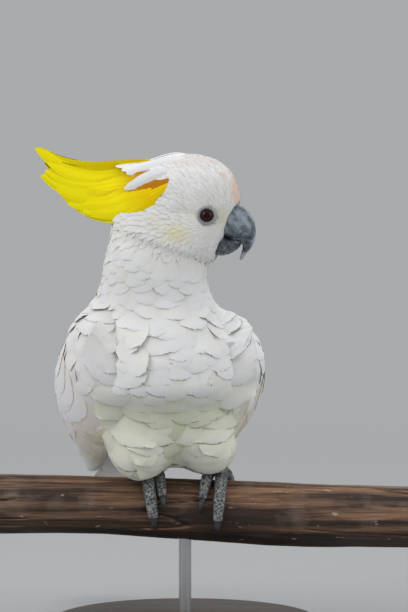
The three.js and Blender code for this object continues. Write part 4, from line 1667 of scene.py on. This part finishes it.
# ---- folded wings and tail
@dataclass(frozen=True)
class Fold:
    """The outer face of a folded wing or of the tail, in the body's frame.

    t runs from the wrist or the tail's root to the tip. turn goes round the section from
    the upper edge at 0, over the outer face at 90, to the lower edge at 180 degrees.
    """

    line: tuple[tuple[float, float, float], ...]
    across: Keys
    bulge: Keys
    depth: Keys
    wrap: Keys
    tilt: Keys
    hand: int

    def centre(self, t: float) -> Vector:
        """The middle of the section at t, in millimetres of the body's frame."""
        rows = np.array(self.line)
        along = lengths(rows)
        beyond = (t - min(max(t, 0.0), 1.0)) * along[-1]
        at = min(max(t, 0.0), 1.0) * along[-1]
        point = Vector([float(keyed(list(zip(along, rows[:, k])), at)) for k in range(3)])
        if beyond:
            end = rows[-1] - rows[-2] if t > 1 else rows[1] - rows[0]
            point += Vector(end).normalized() * beyond
        return point

    def section(self, t: float, turn: float) -> tuple[float, float, float, float]:
        """The cosine and sine of a turn, and the section's half width and thickness there."""
        v, w = math.cos(math.radians(turn)), math.sin(math.radians(turn))
        return v, w, float(keyed(self.across, t)), float(keyed(self.bulge if w > 0 else self.depth, t))

    def place(self, t: float, turn: float, lift: float) -> Vector:
        """A point over the face.

        Args:
            t: The share of the way to the tip.
            turn: Degrees round the section.
            lift: Height over the solid's surface, in millimetres.

        Returns:
            The point, in metres in the model.
        """
        tangent = (self.centre(t + 0.01) - self.centre(t - 0.01)).normalized()
        tilt = math.radians(float(keyed(self.tilt, t)))
        out = Vector((self.hand * math.cos(tilt), 0.0, math.sin(tilt)))
        out = (out - tangent * out.dot(tangent)).normalized()
        upper = tangent.cross(out) * -self.hand
        v, w, half, thick = self.section(t, turn)
        wrapped = float(keyed(self.wrap, t)) * v * v
        point = self.centre(t) + upper * (v * half) + out * (w * thick - wrapped)
        normal = (upper * (v / half) + out * (w / thick)).normalized()
        return BODY.matrix @ (point + normal * lift)

    def shaft(self, root: tuple, tip: tuple, stations: int, width: float, lap: float) -> tuple:
        """A feather's shaft over the face, and its two edges, which follow the face round.

        Args:
            root: t, turn and lift at the root.
            tip: The same at the tip.
            stations: How many places along it.
            width: Its width, in millimetres.
            lap: How far its lower edge rises and its upper edge dips.

        Returns:
            The places, the directions away from the face there, and the edges.
        """
        shaft, rises, above, below = [], [], [], []
        for number in range(stations):
            share = number / (stations - 1)
            t, turn, lift = (a + (b - a) * share for a, b in zip(root, tip))
            here = self.place(t, turn, lift)
            shaft.append(here)
            rises.append((self.place(t, turn, lift + 1.0) - here).normalized())
            v, w, half, thick = self.section(t, turn)
            speed = math.hypot(half * w, thick * v)
            reach = math.degrees(min(width / 2 / speed, 1.1))
            above.append(self.place(t, turn - reach, lift - lap))
            below.append(self.place(t, turn + reach, lift + lap * min(max((165 - turn) / 25, -4), 1)))
        return shaft, rises, (above, below) if self.hand > 0 else (below, above)


@dataclass(frozen=True)
class Row:
    """A row of like feathers on a folded wing. Sizes are in millimetres."""

    start: float
    length: float
    width: float
    count: int
    first_turn: float
    last_turn: float
    lift: tuple[float, float]


def lay_on(plumage: Plumage, fold: Fold, ends: tuple, width: float, stations: int, lap: float) -> None:
    """Adds one feather to a coat piece, between its two ends on a fold."""
    shaft, rises, edges = fold.shaft(*ends, stations, width, lap)
    tip = marked(rows_of(shaft[-1:]))[0]
    # A faint cream base, the feathers' own, which also paints soft warm shade where the edges tuck under.
    base = tip * np.array((0.98, 0.95, 0.88))
    feather = Feather(shaft, rises, width * MM, shaft[0], base=base, tip=tip, edges=edges)
    plumage.feathers.append(feather)


COVERT_STATIONS, FLIGHT_STATIONS = 8, 18  # on each shaft of a wing or the tail
LATER_ROWS = (
    Row(0.29, 38, 29, 11, 4, 190, (-0.4, 0.15)),
    Row(0.33, 42, 29, 11, 0, 186, (-0.4, 0.1)),
    Row(0.38, 54, 30, 10, 2, 182, (-0.5, 0.1)),
    Row(0.43, 58, 30, 9, 0, 176, (-0.6, 0.05)),
)


@dataclass(frozen=True)
class Layer:
    """A layer of flight feathers: the first one's root, tip and width, and their changes."""

    count: int
    root: tuple[tuple, tuple]
    tip: tuple[tuple, tuple]
    width: tuple[tuple, tuple]

    def feathers(self) -> Iterator[list]:
        """The root, tip and width of each feather, from the innermost outwards."""
        for number in range(self.count):
            share = number / (self.count - 1)
            ends = (self.root, self.tip, self.width)
            yield [tuple(a + b * share for a, b in zip(first, change)) for first, change in ends]


FLIGHT_LAYERS = (
    Layer(8, ((0.46, 158, -3.0), (0.02, -52, 1.2)), ((0.80, 176, -1.2), (0.21, -92, 1.2)), ((17,), (-3,))),
    Layer(9, ((0.34, 176, -1.6), (0.05, -110, 0.8)), ((0.60, 190, -0.6), (0.20, -96, 1.2)), ((25,), (0,))),
    Layer(4, ((0.40, 60, -0.4), (0.02, -44, 0.5)), ((0.82, 78, 0.8), (-0.10, -62, 0.7)), ((26,), (0,))),
)


@dataclass
class Wing:
    """A folded wing's feathers: small, middle and great coverts, and the flight feathers."""

    side: Side
    shrug: float = 4.0
    reach: float = 285.0
    small_rows: int = 5

    def fold(self) -> Fold:
        """The wing's outer face."""
        hand = self.side.value
        raised = -hand * self.shrug
        line = (
            (53, -43, 250 + raised),
            (63, -22, 234 + raised),
            (67, 14, 206 + 0.4 * raised),
            (52, 74, 176),
            (26, 130, 149),
            (11, 196, 119),
        )
        return Fold(
            line=tuple((x * hand, y, z) for x, y, z in line),
            across=((0, 12), (0.1, 34), (0.27, 51), (0.45, 50), (0.7, 31), (0.9, 17), (1, 6)),
            bulge=((0, 5), (0.12, 15), (0.3, 17), (0.55, 11), (0.8, 5), (1, 2)),
            depth=((0, 5), (0.15, 12), (0.4, 12), (0.7, 6), (1, 2)),
            wrap=((0, 3), (0.2, 16), (0.45, 18), (0.7, 8), (1, 1)),
            tilt=((0, 4), (0.3, -4), (0.5, 8), (0.65, 26), (0.8, 48), (1, 62)),
            hand=hand,
        )

    def rows(self) -> list[Row]:
        """The rows of coverts, from the bend of the wing backwards."""
        rows = []
        for number in range(self.small_rows):
            share = 0.62 + 0.38 * number / (self.small_rows - 1)
            at = 0.26 * share
            half = float(keyed(self.fold().across, at))
            count = int(7 + half / 5.5)
            rows.append(Row(at, 24 + 10 * share, 25 + 5 * share, count, -22, 202, (-1.3, 0.0)))
        return [*rows, *LATER_ROWS]

    def build(self, skin: Skin) -> None:
        """Lays the coverts and the flight feathers, as two coat pieces."""
        chance = np.random.default_rng(SEED + 7 * self.side.value + 50)
        coverts = Plumage(f"wing_coverts_{self.side.word}", COVERT_VANE, FIRM)
        fold = self.fold()
        for number, row in enumerate(self.rows()):
            for place in range(row.count):
                share = (place + 0.5 * (number % 2) + chance.normal(0, 0.07)) / row.count
                turn = row.first_turn + (row.last_turn - row.first_turn) * share
                start = row.start + chance.normal(0, 0.004)
                reach = row.length * chance.uniform(0.94, 1.06) / self.reach
                low, high = row.lift
                aside = turn + (90 - turn) * 0.03 + chance.normal(0, 2)
                ends = ((start, turn, low), (start + reach, aside, high))
                lay_on(coverts, fold, ends, row.width * chance.uniform(0.94, 1.06), COVERT_STATIONS, 0.5)
        coverts.build(skin)
        flight = Plumage(f"wing_flight_{self.side.word}", FLIGHT_VANE, QUILL)
        for layer in FLIGHT_LAYERS:
            for root, tip, (width,) in layer.feathers():
                lay_on(flight, fold, (root, tip), width, FLIGHT_STATIONS, 0.6)
        flight.build(skin)


@dataclass
class Tail:
    """The tail: twelve broad feathers in a shallow fan, with a rounded end."""

    pairs: int = 6
    width: float = 31.0
    line: tuple = ((0, 58, 168), (0, 120, 136), (0, 190, 100), (0, 246, 72))

    def build(self, skin: Skin) -> None:
        """Lays the pairs, the middle one on top, as one coat piece."""
        fold = Fold(
            line=self.line,
            across=((0, 20), (0.3, 27), (0.8, 37), (0.95, 33), (1, 22)),
            bulge=((0, 9), (0.3, 7), (0.7, 3), (1, 1)),
            depth=((0, 14), (0.3, 7), (0.7, 2), (1, 0.8)),
            wrap=((0, 4), (1, 5)),
            tilt=((0, 90), (1, 90)),
            hand=1,
        )
        feathers = Plumage("tail_feathers", FLIGHT_VANE, QUILL)
        for number in range(self.pairs - 1, -1, -1):
            out = (number + 0.5) / self.pairs
            for hand in (-1, 1):
                across = math.degrees(math.acos(hand * out * 0.62))
                spread = math.degrees(math.acos(hand * out * 0.78))
                lift = 1.0 - 0.55 * number + 0.15 * hand
                root = (0.10, across, lift - 1.4)
                tip = (1.0 - 0.05 * out * out, spread, lift)
                lay_on(feathers, fold, (root, tip), self.width - 8 * out, FLIGHT_STATIONS, 0.0)
        feathers.build(skin)


# ---- crest and its coverts
@dataclass(frozen=True)
class Plume:
    """A long feather of the head, through points of the skull's frame in millimetres."""

    points: tuple[tuple[float, float, float], ...]
    width: float
    tilt: float

    def towards(self, other: "Plume", share: float) -> "Plume":
        """A plume part of the way between this one and another."""
        count = 6
        own = through([Vector(p) for p in self.points], count)
        theirs = through([Vector(p) for p in other.points], count)
        mixed = tuple(tuple(a.lerp(b, share)) for a, b in zip(own, theirs))
        width = self.width + (other.width - self.width) * share
        return Plume(mixed, width, self.tilt + (other.tilt - self.tilt) * share)


@dataclass
class Crest:
    """The folded crest: narrow yellow feathers that curl up at their ends, under white ones."""

    inner: tuple = (
        Plume(((0, 10, 31), (1, 34, 32), (1, 58, 29), (1, 84, 28), (1, 104, 34), (1, 124, 47)), 17, 14),
        Plume(((3, 12, 28), (4, 40, 25), (4, 70, 21), (4, 96, 23), (4, 114, 30)), 14, 22),
        Plume(((5, 14, 24), (8, 38, 14), (7, 66, 10), (6, 92, 12), (5, 120, 25)), 17, 16),
        Plume(((7, 16, 19), (12, 36, 5), (10, 62, -2), (8, 85, -4)), 16, 12),
    )
    outer: tuple = (
        Plume(((20.5, 13, 29), (21, 26, 27), (16.5, 42, 23), (7, 62, 20),
                (4, 88, 19), (2, 113, 27)), 12, 30),
        Plume(((25.5, 12, 22), (28.5, 24, 17), (24.5, 40, 13), (12, 60, 11),
                (6, 84, 9), (3, 110, 16)), 14, 16),
        Plume(((27, 13, 18), (31, 26, 9), (28, 42, 4), (16, 60, 1), (8, 80, 0), (5, 100, 6)), 15, 10),
        Plume(((27.5, 16, 15), (31.5, 28, 4), (29.5, 42, -2), (20, 54, -5),
                (11, 68, -6), (5, 84, -5)), 13, 6),
    )
    between: int = 2
    amber: int = 5
    stations: int = 24
    covers: tuple = (
        Plume(((1, -10, 37), (2, 10, 40.9), (3, 34, 34.3), (3, 60, 31.2)), 13, 55),
        Plume(((6, -12, 35), (8, 8, 39.6), (9, 30, 34.0), (8, 54, 29.5)), 13, 40),
        Plume(((12, -8, 34), (14, 10, 36.5), (14, 30, 31), (12, 50, 26)), 12, 25),
        Plume(((20.5, 10, 30), (24, 24, 26), (25, 36, 20.5), (23.5, 50, 14.5)), 10, 12),
    )

    def build(self, skin: Skin) -> None:
        """Lays the yellow plumes, and the white feathers that cover their roots."""
        chance = np.random.default_rng(SEED + 11)
        yellow = Plumage("crest_plumes", CREST_VANE, PLUME, "crest_plumes")
        for fan in (self.inner, self.outer):
            plumes = []
            for first, second in zip(fan, fan[1:]):
                plumes += [first.towards(second, k / (self.between + 1)) for k in range(self.between + 1)]
            plumes.append(fan[-1])
            for number, plume in enumerate(plumes):
                amber = fan is self.outer and number < self.amber
                for hand in (-1, 1):
                    if plume is self.inner[0] and hand == 1:
                        continue
                    root = Tone.RUST if amber else Tone.YELLOW
                    self.lay(yellow, plume, hand, chance, root, Tone.LEMON)
        piece = yellow.build(skin)
        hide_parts("crest")
        white = Plumage("crest_covers", CREST_VANE, SOFT)
        for plume in self.covers:
            for hand in (-1, 1):
                self.lay(white, plume, hand, chance, Tone.WHITE, Tone.WHITE)
        white.build(skin)

    def lay(self, plumage, plume: Plume, hand: int, chance, root: Tone, tip: Tone) -> None:
        """Adds one plume to a coat piece, on one hand of the head."""
        jitter = Vector(chance.normal(0, 0.45, 3))
        points = [SKULL.point(x * hand, y, z) for x, y, z in plume.points]
        shaft = through(points, self.stations)
        for number, point in enumerate(shaft):
            point += jitter * MM * (number / (self.stations - 1)) ** 1.5 * 2.0
        tilt = math.radians(plume.tilt + chance.normal(0, 4))
        rise = SKULL.way(hand * math.cos(tilt), 0.0, math.sin(tilt))
        width = plume.width * MM * chance.uniform(0.92, 1.08)
        rises = [rise] * len(shaft)
        feather = Feather(shaft, rises, width, shaft[0], 0.22, base=root.array, tip=tip.array)
        plumage.feathers.append(feather)


# ---- eyes
@dataclass
class Eye:
    """An eyeball with a domed cornea, in a ring of bare wrinkled skin."""

    side: Side
    opening: float = 5.0
    ring: float = 7.2
    seat: float = 4.1

    @property
    def way(self) -> Vector:
        """The way the eye looks."""
        return SKULL.way(self.side.value, -0.12, 0.04)

    def build(self) -> None:
        """Builds the ball and the bare ring."""
        self.ball()
        self.lids()

    def ball(self) -> None:
        """The eyeball, its pole turned the way the eye looks."""
        node = f"eye_{self.side.word}"
        low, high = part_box(node)
        centre, radius = centre_of(node), (high.z - low.z) / 2
        turn = self.way.to_track_quat("Z", "X").to_euler()
        ball = dict(segments=64, ring_count=48, radius=radius, location=centre, rotation=turn)
        piece = started(f"eyeball_{self.side.word}", "uv_sphere", **ball)

        def aside(point: Vector) -> float:
            """Distance from the eye's axis, as a share of the opening; 2 behind the middle."""
            off = point - centre
            return off.cross(self.way).length / (self.opening * MM) if off.dot(self.way) > 0 else 2.0

        def dome(point: Vector, normal: Vector) -> float:
            """The cornea's extra rise in front."""
            return 0.35 * MM * max(0.0, 1.0 - aside(point) ** 2)

        sculpt(piece, dome)
        paint(piece, "away", np.array([aside(Vector(p)) for p in places(piece)]))
        shade(piece, 60)
        fit(piece, EyeFinish("wet_eye"), "eye", [node])

    def lids(self) -> None:
        """The bare ring and the lids' edge, with concentric creases and small warts."""
        centre = centre_of(f"eye_{self.side.word}")
        tube = (self.ring - self.opening) / 2
        base = centre + self.way * self.seat * MM
        turn = self.way.to_track_quat("Z", "Y").to_euler()
        rings = dict(major_radius=(self.opening + tube) * MM, minor_radius=tube * MM)
        fine = dict(major_segments=160, minor_segments=28, location=base, rotation=turn)
        piece = started(f"eye_ring_{self.side.word}", "torus", **rings, **fine)
        level = SKULL.way(0, 1, 0)

        def flat(point: Vector) -> Vector:
            """A point of the ring, flattened, and drawn out a little to its two corners."""
            off = point - base
            height = off.dot(self.way)
            beside = off - self.way * height
            along = beside.dot(level)
            wide = 1.0 + 0.07 * (abs(along) / (self.ring * MM)) ** 2
            return base + beside * wide + self.way * height * 0.72

        move_to(piece, rows_of([flat(Vector(p)) for p in places(piece)]))

        def creases(point: Vector, normal: Vector) -> float:
            """Concentric folds and small warts."""
            away = (point - base).cross(self.way).length
            folds = math.sin(away / (0.62 * MM) * math.tau + 2.0 * noise.noise(point * 300))
            warts = noise.fractal(point * 1100, 1.0, 2.0, 2)
            return 0.06 * MM * folds + 0.13 * MM * warts

        rises = sculpt(piece, creases)
        distance = np.array([(Vector(p) - base).cross(self.way).length / MM for p in places(piece)])
        edge = smooth(self.opening + 1.25, self.opening + 0.35, distance)[:, None]
        outer = smooth(self.ring - 1.0, self.ring, distance)[:, None]
        # Painted light and shade: the crests of the folds and warts are painted paler and their hollows
        # darker, by how far they were raised.
        worn = (rises / (0.19 * MM)).clip(-1, 1)[:, None]
        tints = Tone.BARE.array * (1.0 + 0.16 * worn)
        tints += (Tone.LID.array - tints) * edge * 0.75
        tints += (Tone.SHADE.array - tints) * outer * 0.6
        paint(piece, "tint", tints)
        shade(piece, 80)
        fit(piece, EYE_SKIN, "foot_skin")


# ---- bill
@dataclass
class Bill:
    """The two mandibles of dark horn, rubbed and powdered, with nostrils at the root."""

    voxel: float = 0.42 * MM
    culmen: tuple[float, float] = (30.0, -18.5)
    nostril: tuple[float, float, float] = (4.0, -27.5, 3.0)

    def build(self) -> None:
        """Builds both mandibles."""
        self.mandible("bill_upper", self.upper_relief)
        self.mandible("bill_lower", self.lower_relief)

    def mandible(self, node: str, relief: Callable[[Vector, Vector], float]) -> None:
        """Refines a mandible's solid and carves its surface.

        Args:
            node: The solid node that it stands for.
            relief: The rise at each place.
        """
        piece = refined([copy_of(node)], f"{node}_horn", self.voxel, 9)
        worn = self.worn(*SKULL.local(places(piece)).T)
        sculpt(piece, relief)
        paint(piece, "worn", worn)
        shade(piece, 70)
        fit(piece, HornFinish("powdered_horn"), "bill_horn", [node])

    def worn(self, x: Array, y: Array, z: Array) -> Array:
        """How rubbed and powdery each place is: the ridge and the sides' middles."""
        out = np.hypot(-y - self.culmen[0], (z - self.culmen[1]) * 0.97)
        ridge = smooth(18.5, 21.5, out) * (1.0 - smooth(1.5, 5.5, np.abs(x)))
        side = smooth(4.5, 7.5, np.abs(x)) * smooth(-22, -12, z)
        return np.clip(0.55 * ridge + 0.5 * side, 0.0, 1.0)

    def upper_relief(self, point: Vector, normal: Vector) -> float:
        """The upper mandible's ridge, side groove, growth lines, flakes and nostrils."""
        x, y, z = SKULL.at(point)
        forward, up = -y - self.culmen[0], z - self.culmen[1]
        out, turn = math.hypot(forward, up), math.atan2(up, forward)
        ridge = 0.45 * math.exp(-((x / 2.4) ** 2)) * float(smooth(15, 21, out))
        groove = -0.38 * math.exp(-(((abs(x) - 5.0) / 0.9) ** 2)) * float(smooth(12, 17, out))
        lines = 0.07 * math.sin(turn * 46 + 2.5 * noise.noise(point * 160))
        flakes = 0.30 * noise.fractal(point * 330, 1.0, 2.1, 4) + 0.12 * noise.noise(point * 1100)
        aside, behind, above = (abs(x) - self.nostril[0]), y - self.nostril[1], z - self.nostril[2]
        pit = -1.3 * math.exp(-((aside / 1.1) ** 2 + (behind / 1.5) ** 2 + (above / 1.3) ** 2))
        return (0.32 + ridge + groove + lines + flakes + pit) * MM

    def lower_relief(self, point: Vector, normal: Vector) -> float:
        """The lower mandible's growth lines and flakes, and its upper face raised to close the gape."""
        _, y, z = SKULL.at(point)
        lines = 0.09 * math.sin((-y * 0.8 + z) * 1.5 + 2.0 * noise.noise(point * 170))
        flakes = 0.32 * noise.fractal(point * 300, 1.0, 2.1, 4) + 0.12 * noise.noise(point * 1100)
        closing = 1.9 * float(smooth(0.2, 0.7, normal.dot(SKULL.way(0, 0, 1))))
        return (0.25 + lines + flakes + closing) * MM


# ---- feet
@dataclass
class Foot:
    """A scaly shank with its four toes, and the claws."""

    side: Side
    voxel: float = 0.5 * MM
    claw_voxel: float = 0.3 * MM
    scale: float = 2.5
    toes: int = 4

    def nodes(self, part: str) -> list[str]:
        """The names of this foot's solid nodes of one part."""
        return [f"{part}_{self.side.word}_{number}" for number in range(1, self.toes + 1)]

    def build(self) -> None:
        """Builds the scaly part and the claws."""
        self.scaly_part()
        self.claws()

    def scaly_part(self) -> None:
        """Runs shank and toes together and raises the scales on them."""
        names = [f"tarsus_{self.side.word}", *self.nodes("toe")]
        piece = refined(list(map(copy_of, names)), f"foot_{self.side.word}", self.voxel, 8)
        rims: list[float] = []

        def scales(point: Vector, normal: Vector) -> float:
            """Rounded scales parted by fine furrows, over soft pads."""
            apart, _ = noise.voronoi(point / (self.scale * MM))
            edge = apart[1] - apart[0]
            rims.append(1.0 - float(smooth(0.04, 0.20, edge)))
            pads = 0.30 * noise.noise(point * 95)
            return (0.18 + 0.48 * float(smooth(0.0, 0.34, edge)) + pads) * MM

        sculpt(piece, scales)
        paint(piece, "rim", np.array(rims))
        shade(piece, 80)
        fit(piece, ScaleFinish("foot_scales"), "foot_skin", names)

    def claws(self) -> None:
        """Rounds the claws and gives them their lengthwise flakes."""
        names = self.nodes("claw")
        piece = refined(list(map(copy_of, names)), f"claws_{self.side.word}", self.claw_voxel, 3)
        sculpt(piece, lambda p, n: (0.16 + 0.10 * noise.fractal(p * 420, 1.0, 2.0, 3)) * MM)
        paint(piece, "worn", np.zeros(len(piece.data.vertices)))
        shade(piece, 70)
        finish = HornFinish("black_horn", (0.012, 0.012, 0.014), (0.045, 0.045, 0.05), amount=0.42)
        fit(piece, finish, "claw_horn", names)


# ---- perch and stand
@dataclass
class Perch:
    """The cut length of weathered branch, with cracks, ridges and two sawn ends."""

    voxel: float = 1.15 * MM
    ridge: float = 0.5
    crack: float = 1.7

    def build(self) -> None:
        """Refines the branch's solid, carves it and dresses bark and ends."""
        piece = refined([copy_of("perch")], "branch", self.voxel, 4)
        low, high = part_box("perch")
        cracks: list[float] = []

        def bark(point: Vector, normal: Vector) -> float:
            """Ridges and splits along the branch, fading out at its sawn ends."""
            drawn = Vector((point.x * 7.0, point.y * 105.0, point.z * 105.0))
            ridges = noise.fractal(drawn, 0.9, 2.1, 4)
            split = abs(noise.noise(Vector((point.x * 6.0, point.y * 62.0, point.z * 62.0)) + drawn * 0.08))
            opened = float(smooth(-0.1, 0.25, noise.noise(point * 14 + Vector((3.1, 0, 0)))))
            depth = opened * float(smooth(0.055, 0.0, split))
            cracks.append(depth)
            wide = 0.5 * noise.noise(point * 30)
            at_end = float(smooth(0.0, 3 * MM, min(point.x - low.x, high.x - point.x)))
            rise = self.ridge * (ridges - 0.55) + wide - self.crack * depth - 0.25
            return rise * MM * at_end

        sculpt(piece, bark)
        # Painted shade: the cracks darkened by their depth, and the underside by how far it faces down.
        paint(piece, "crack", np.array(cracks))
        paint(piece, "under", smooth(0.15, -0.75, outward(piece)[:, 2]))
        shade(piece, 50)
        middle = [(low.y + high.y) / 2, (low.z + high.z) / 2]
        fit(piece, BranchFinish("branch_wood"), "perch_wood", ["perch"])
        piece.data.materials.append(SawnFinish("sawn_wood", centre=(0.0, *middle)).material())
        for face in piece.data.polygons:
            near_end = min(face.center.x - low.x, high.x - face.center.x) < 2.0 * MM
            face.material_index = int(near_end and abs(face.normal.x) > 0.6)


@dataclass
class Stand:
    """A plain round board and one steel rod up to the perch."""

    edge: float = 3.0 * MM
    collar: float = 2.4 * MM

    def build(self) -> None:
        """Builds the board and the rod."""
        self.board()
        self.rod()

    def board(self) -> None:
        """The board: a disc with a rounded top edge."""
        low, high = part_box("stand_base")
        size = dict(radius=(high.x - low.x) / 2, depth=high.z - low.z, location=(low + high) / 2)
        piece = started("stand_board", "cylinder", vertices=160, end_fill_type="NGON", **size)
        with editing(piece, "DESELECT"):
            shape = bmesh.from_edit_mesh(piece.data)
            for edge in shape.edges:
                if all(v.co.z > high.z - 0.1 * MM for v in edge.verts):
                    edge.select_set(True)
            bmesh.update_edit_mesh(piece.data)
            bpy.ops.mesh.bevel(offset=self.edge, segments=6, profile=0.5)
        shade(piece, 30)
        fit(piece, BoardFinish("dark_board"), "stand_board", ["stand_base"])

    def rod(self) -> None:
        """The rod, with a small collar where it leaves the board."""
        low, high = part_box("stand_rod")
        middle, radius = (low + high) / 2, (high.x - low.x) / 2
        size = dict(radius=radius, depth=high.z - low.z, location=middle)
        rod = started("rod", "cylinder", vertices=64, **size)
        foot = Vector((middle.x, middle.y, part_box("stand_base")[1].z + self.collar))
        size = dict(radius=radius + self.collar, depth=2 * self.collar, location=foot)
        ring = started("collar", "cylinder", vertices=64, **size)
        modify(ring, "BEVEL", width=0.8 * MM, segments=4)
        piece = joined([rod, ring], "stand_rod_steel")
        shade(piece, 30)
        fit(piece, SteelFinish("brushed_steel"), "stand_steel", ["stand_rod"])


# ---- studio
@dataclass
class Studio:
    """A pale floor that runs out into an even pale ground, soft lamps and the camera."""

    ground: Colour = (0.40, 0.405, 0.41)
    reach: float = 9.0
    target: Vector = Vector((0.0152, -0.02, 0.268))
    distance: float = 2.4
    elevation: float = 3.0
    lens: float = 176.5

    def build(self) -> None:
        """Builds floor, world, lamps and camera."""
        self.floor()
        self.world()
        self.lamps()
        self.camera()

    def floor(self) -> None:
        """The floor, whose far parts take the ground's own colour for the camera."""
        piece = started("studio_floor", "circle", vertices=96, radius=self.reach, fill_type="NGON")
        made = bpy.data.materials.new("studio_floor")
        made.use_nodes = True
        nodes = Nodes(made.node_tree)
        shader = nodes.add("BsdfPrincipled", in_Roughness=0.85, in_Base_Color=self.ground)
        plain = nodes.add("Emission", in_Color=self.ground, in_Strength=1.0)
        far = nodes.span(nodes.length(nodes.place), 0.5, 2.0)
        path = nodes.add("LightPath").outputs
        seen = nodes.math("MAXIMUM", path["Is Camera Ray"], path["Is Glossy Ray"])
        nodes.mixed("OutputMaterial", nodes.math("MULTIPLY", far, seen), shader, plain)
        piece.data.materials.append(made)

    def world(self) -> None:
        """Even soft light, behind which the camera sees the plain ground's colour."""
        world = bpy.data.worlds.new("studio")
        bpy.context.scene.world = world
        world.use_nodes = True
        nodes = Nodes(world.node_tree)
        path = nodes.add("LightPath").outputs
        first = nodes.math("MAXIMUM", path["Is Camera Ray"], path["Is Glossy Ray"])
        seen = nodes.math("MAXIMUM", first, path["Is Transmission Ray"])
        up = nodes.parts(nodes.add("TexCoord").outputs["Generated"])[2]
        strength = nodes.span(up, -0.1, 0.9, 0.42, 0.86)
        light = nodes.add("Background", in_Color=(0.96, 0.98, 1.0), in_Strength=strength)
        plain = nodes.add("Background", in_Color=self.ground, in_Strength=1.0)
        nodes.mixed("OutputWorld", seen, light, plain)

    def lamps(self) -> None:
        """Square area lamps that face the bird: place, length of sides, watts and colour."""
        for name, place, size, power, tone in (
            ("key", (-1.8, -1.0, 1.6), 1.6, 20.5, (1.0, 0.99, 0.975)),
            ("fill", (2.0, -0.8, 1.3), 1.6, 13.0, (0.95, 0.97, 1.0)),
            ("top", (0.1, 0.5, 2.3), 1.3, 8.0, (1.0, 1.0, 1.0)),
        ):
            turn = (self.target - Vector(place)).to_track_quat("-Z", "Y").to_euler()
            deselect_all()
            bpy.ops.object.light_add(type="AREA", location=place, rotation=turn)
            light = bpy.context.object
            light.name = name
            light.data.size, light.data.energy, light.data.color = size, power, tone

    def camera(self) -> None:
        """The camera, level with the bird and far off, behind a long lens."""
        tilt = math.radians(self.elevation)
        place = self.target + Vector((0.0, -math.cos(tilt), math.sin(tilt))) * self.distance
        turn = (self.target - place).to_track_quat("-Z", "Y").to_euler()
        deselect_all()
        bpy.ops.object.camera_add(location=place, rotation=turn)
        camera = bpy.context.object
        camera.data.lens = self.lens
        camera.data.sensor_width = 36.0
        camera.data.clip_end = 50.0
        bpy.context.scene.camera = camera
        bpy.context.scene.view_settings.view_transform = "Standard"


# ---- assembly
def main() -> None:
    """Builds the studio, the skin, the coat, the bare parts, the perch and the stand."""
    logging.basicConfig(level=logging.INFO, format="%(message)s")
    Studio().build()
    skin = Skin()
    skin.build()
    ground = Ground(skin.tree, tree_of(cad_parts["perch"]))
    for name, vane, finish, tracts in BODY_TRACTS:
        plumage = Plumage(name, vane, finish)
        for tract in tracts:
            tract.grow(plumage, skin, ground)
        plumage.build(skin)
    for side in Side:
        Wing(side).build(skin)
        Eye(side).build()
        Foot(side).build()
    Tail().build(skin)
    Crest().build(skin)
    for part in (Bill(), Perch(), Stand()):
        part.build()
    bpy.context.view_layer.update()


if __name__ == "__main__":
    main()
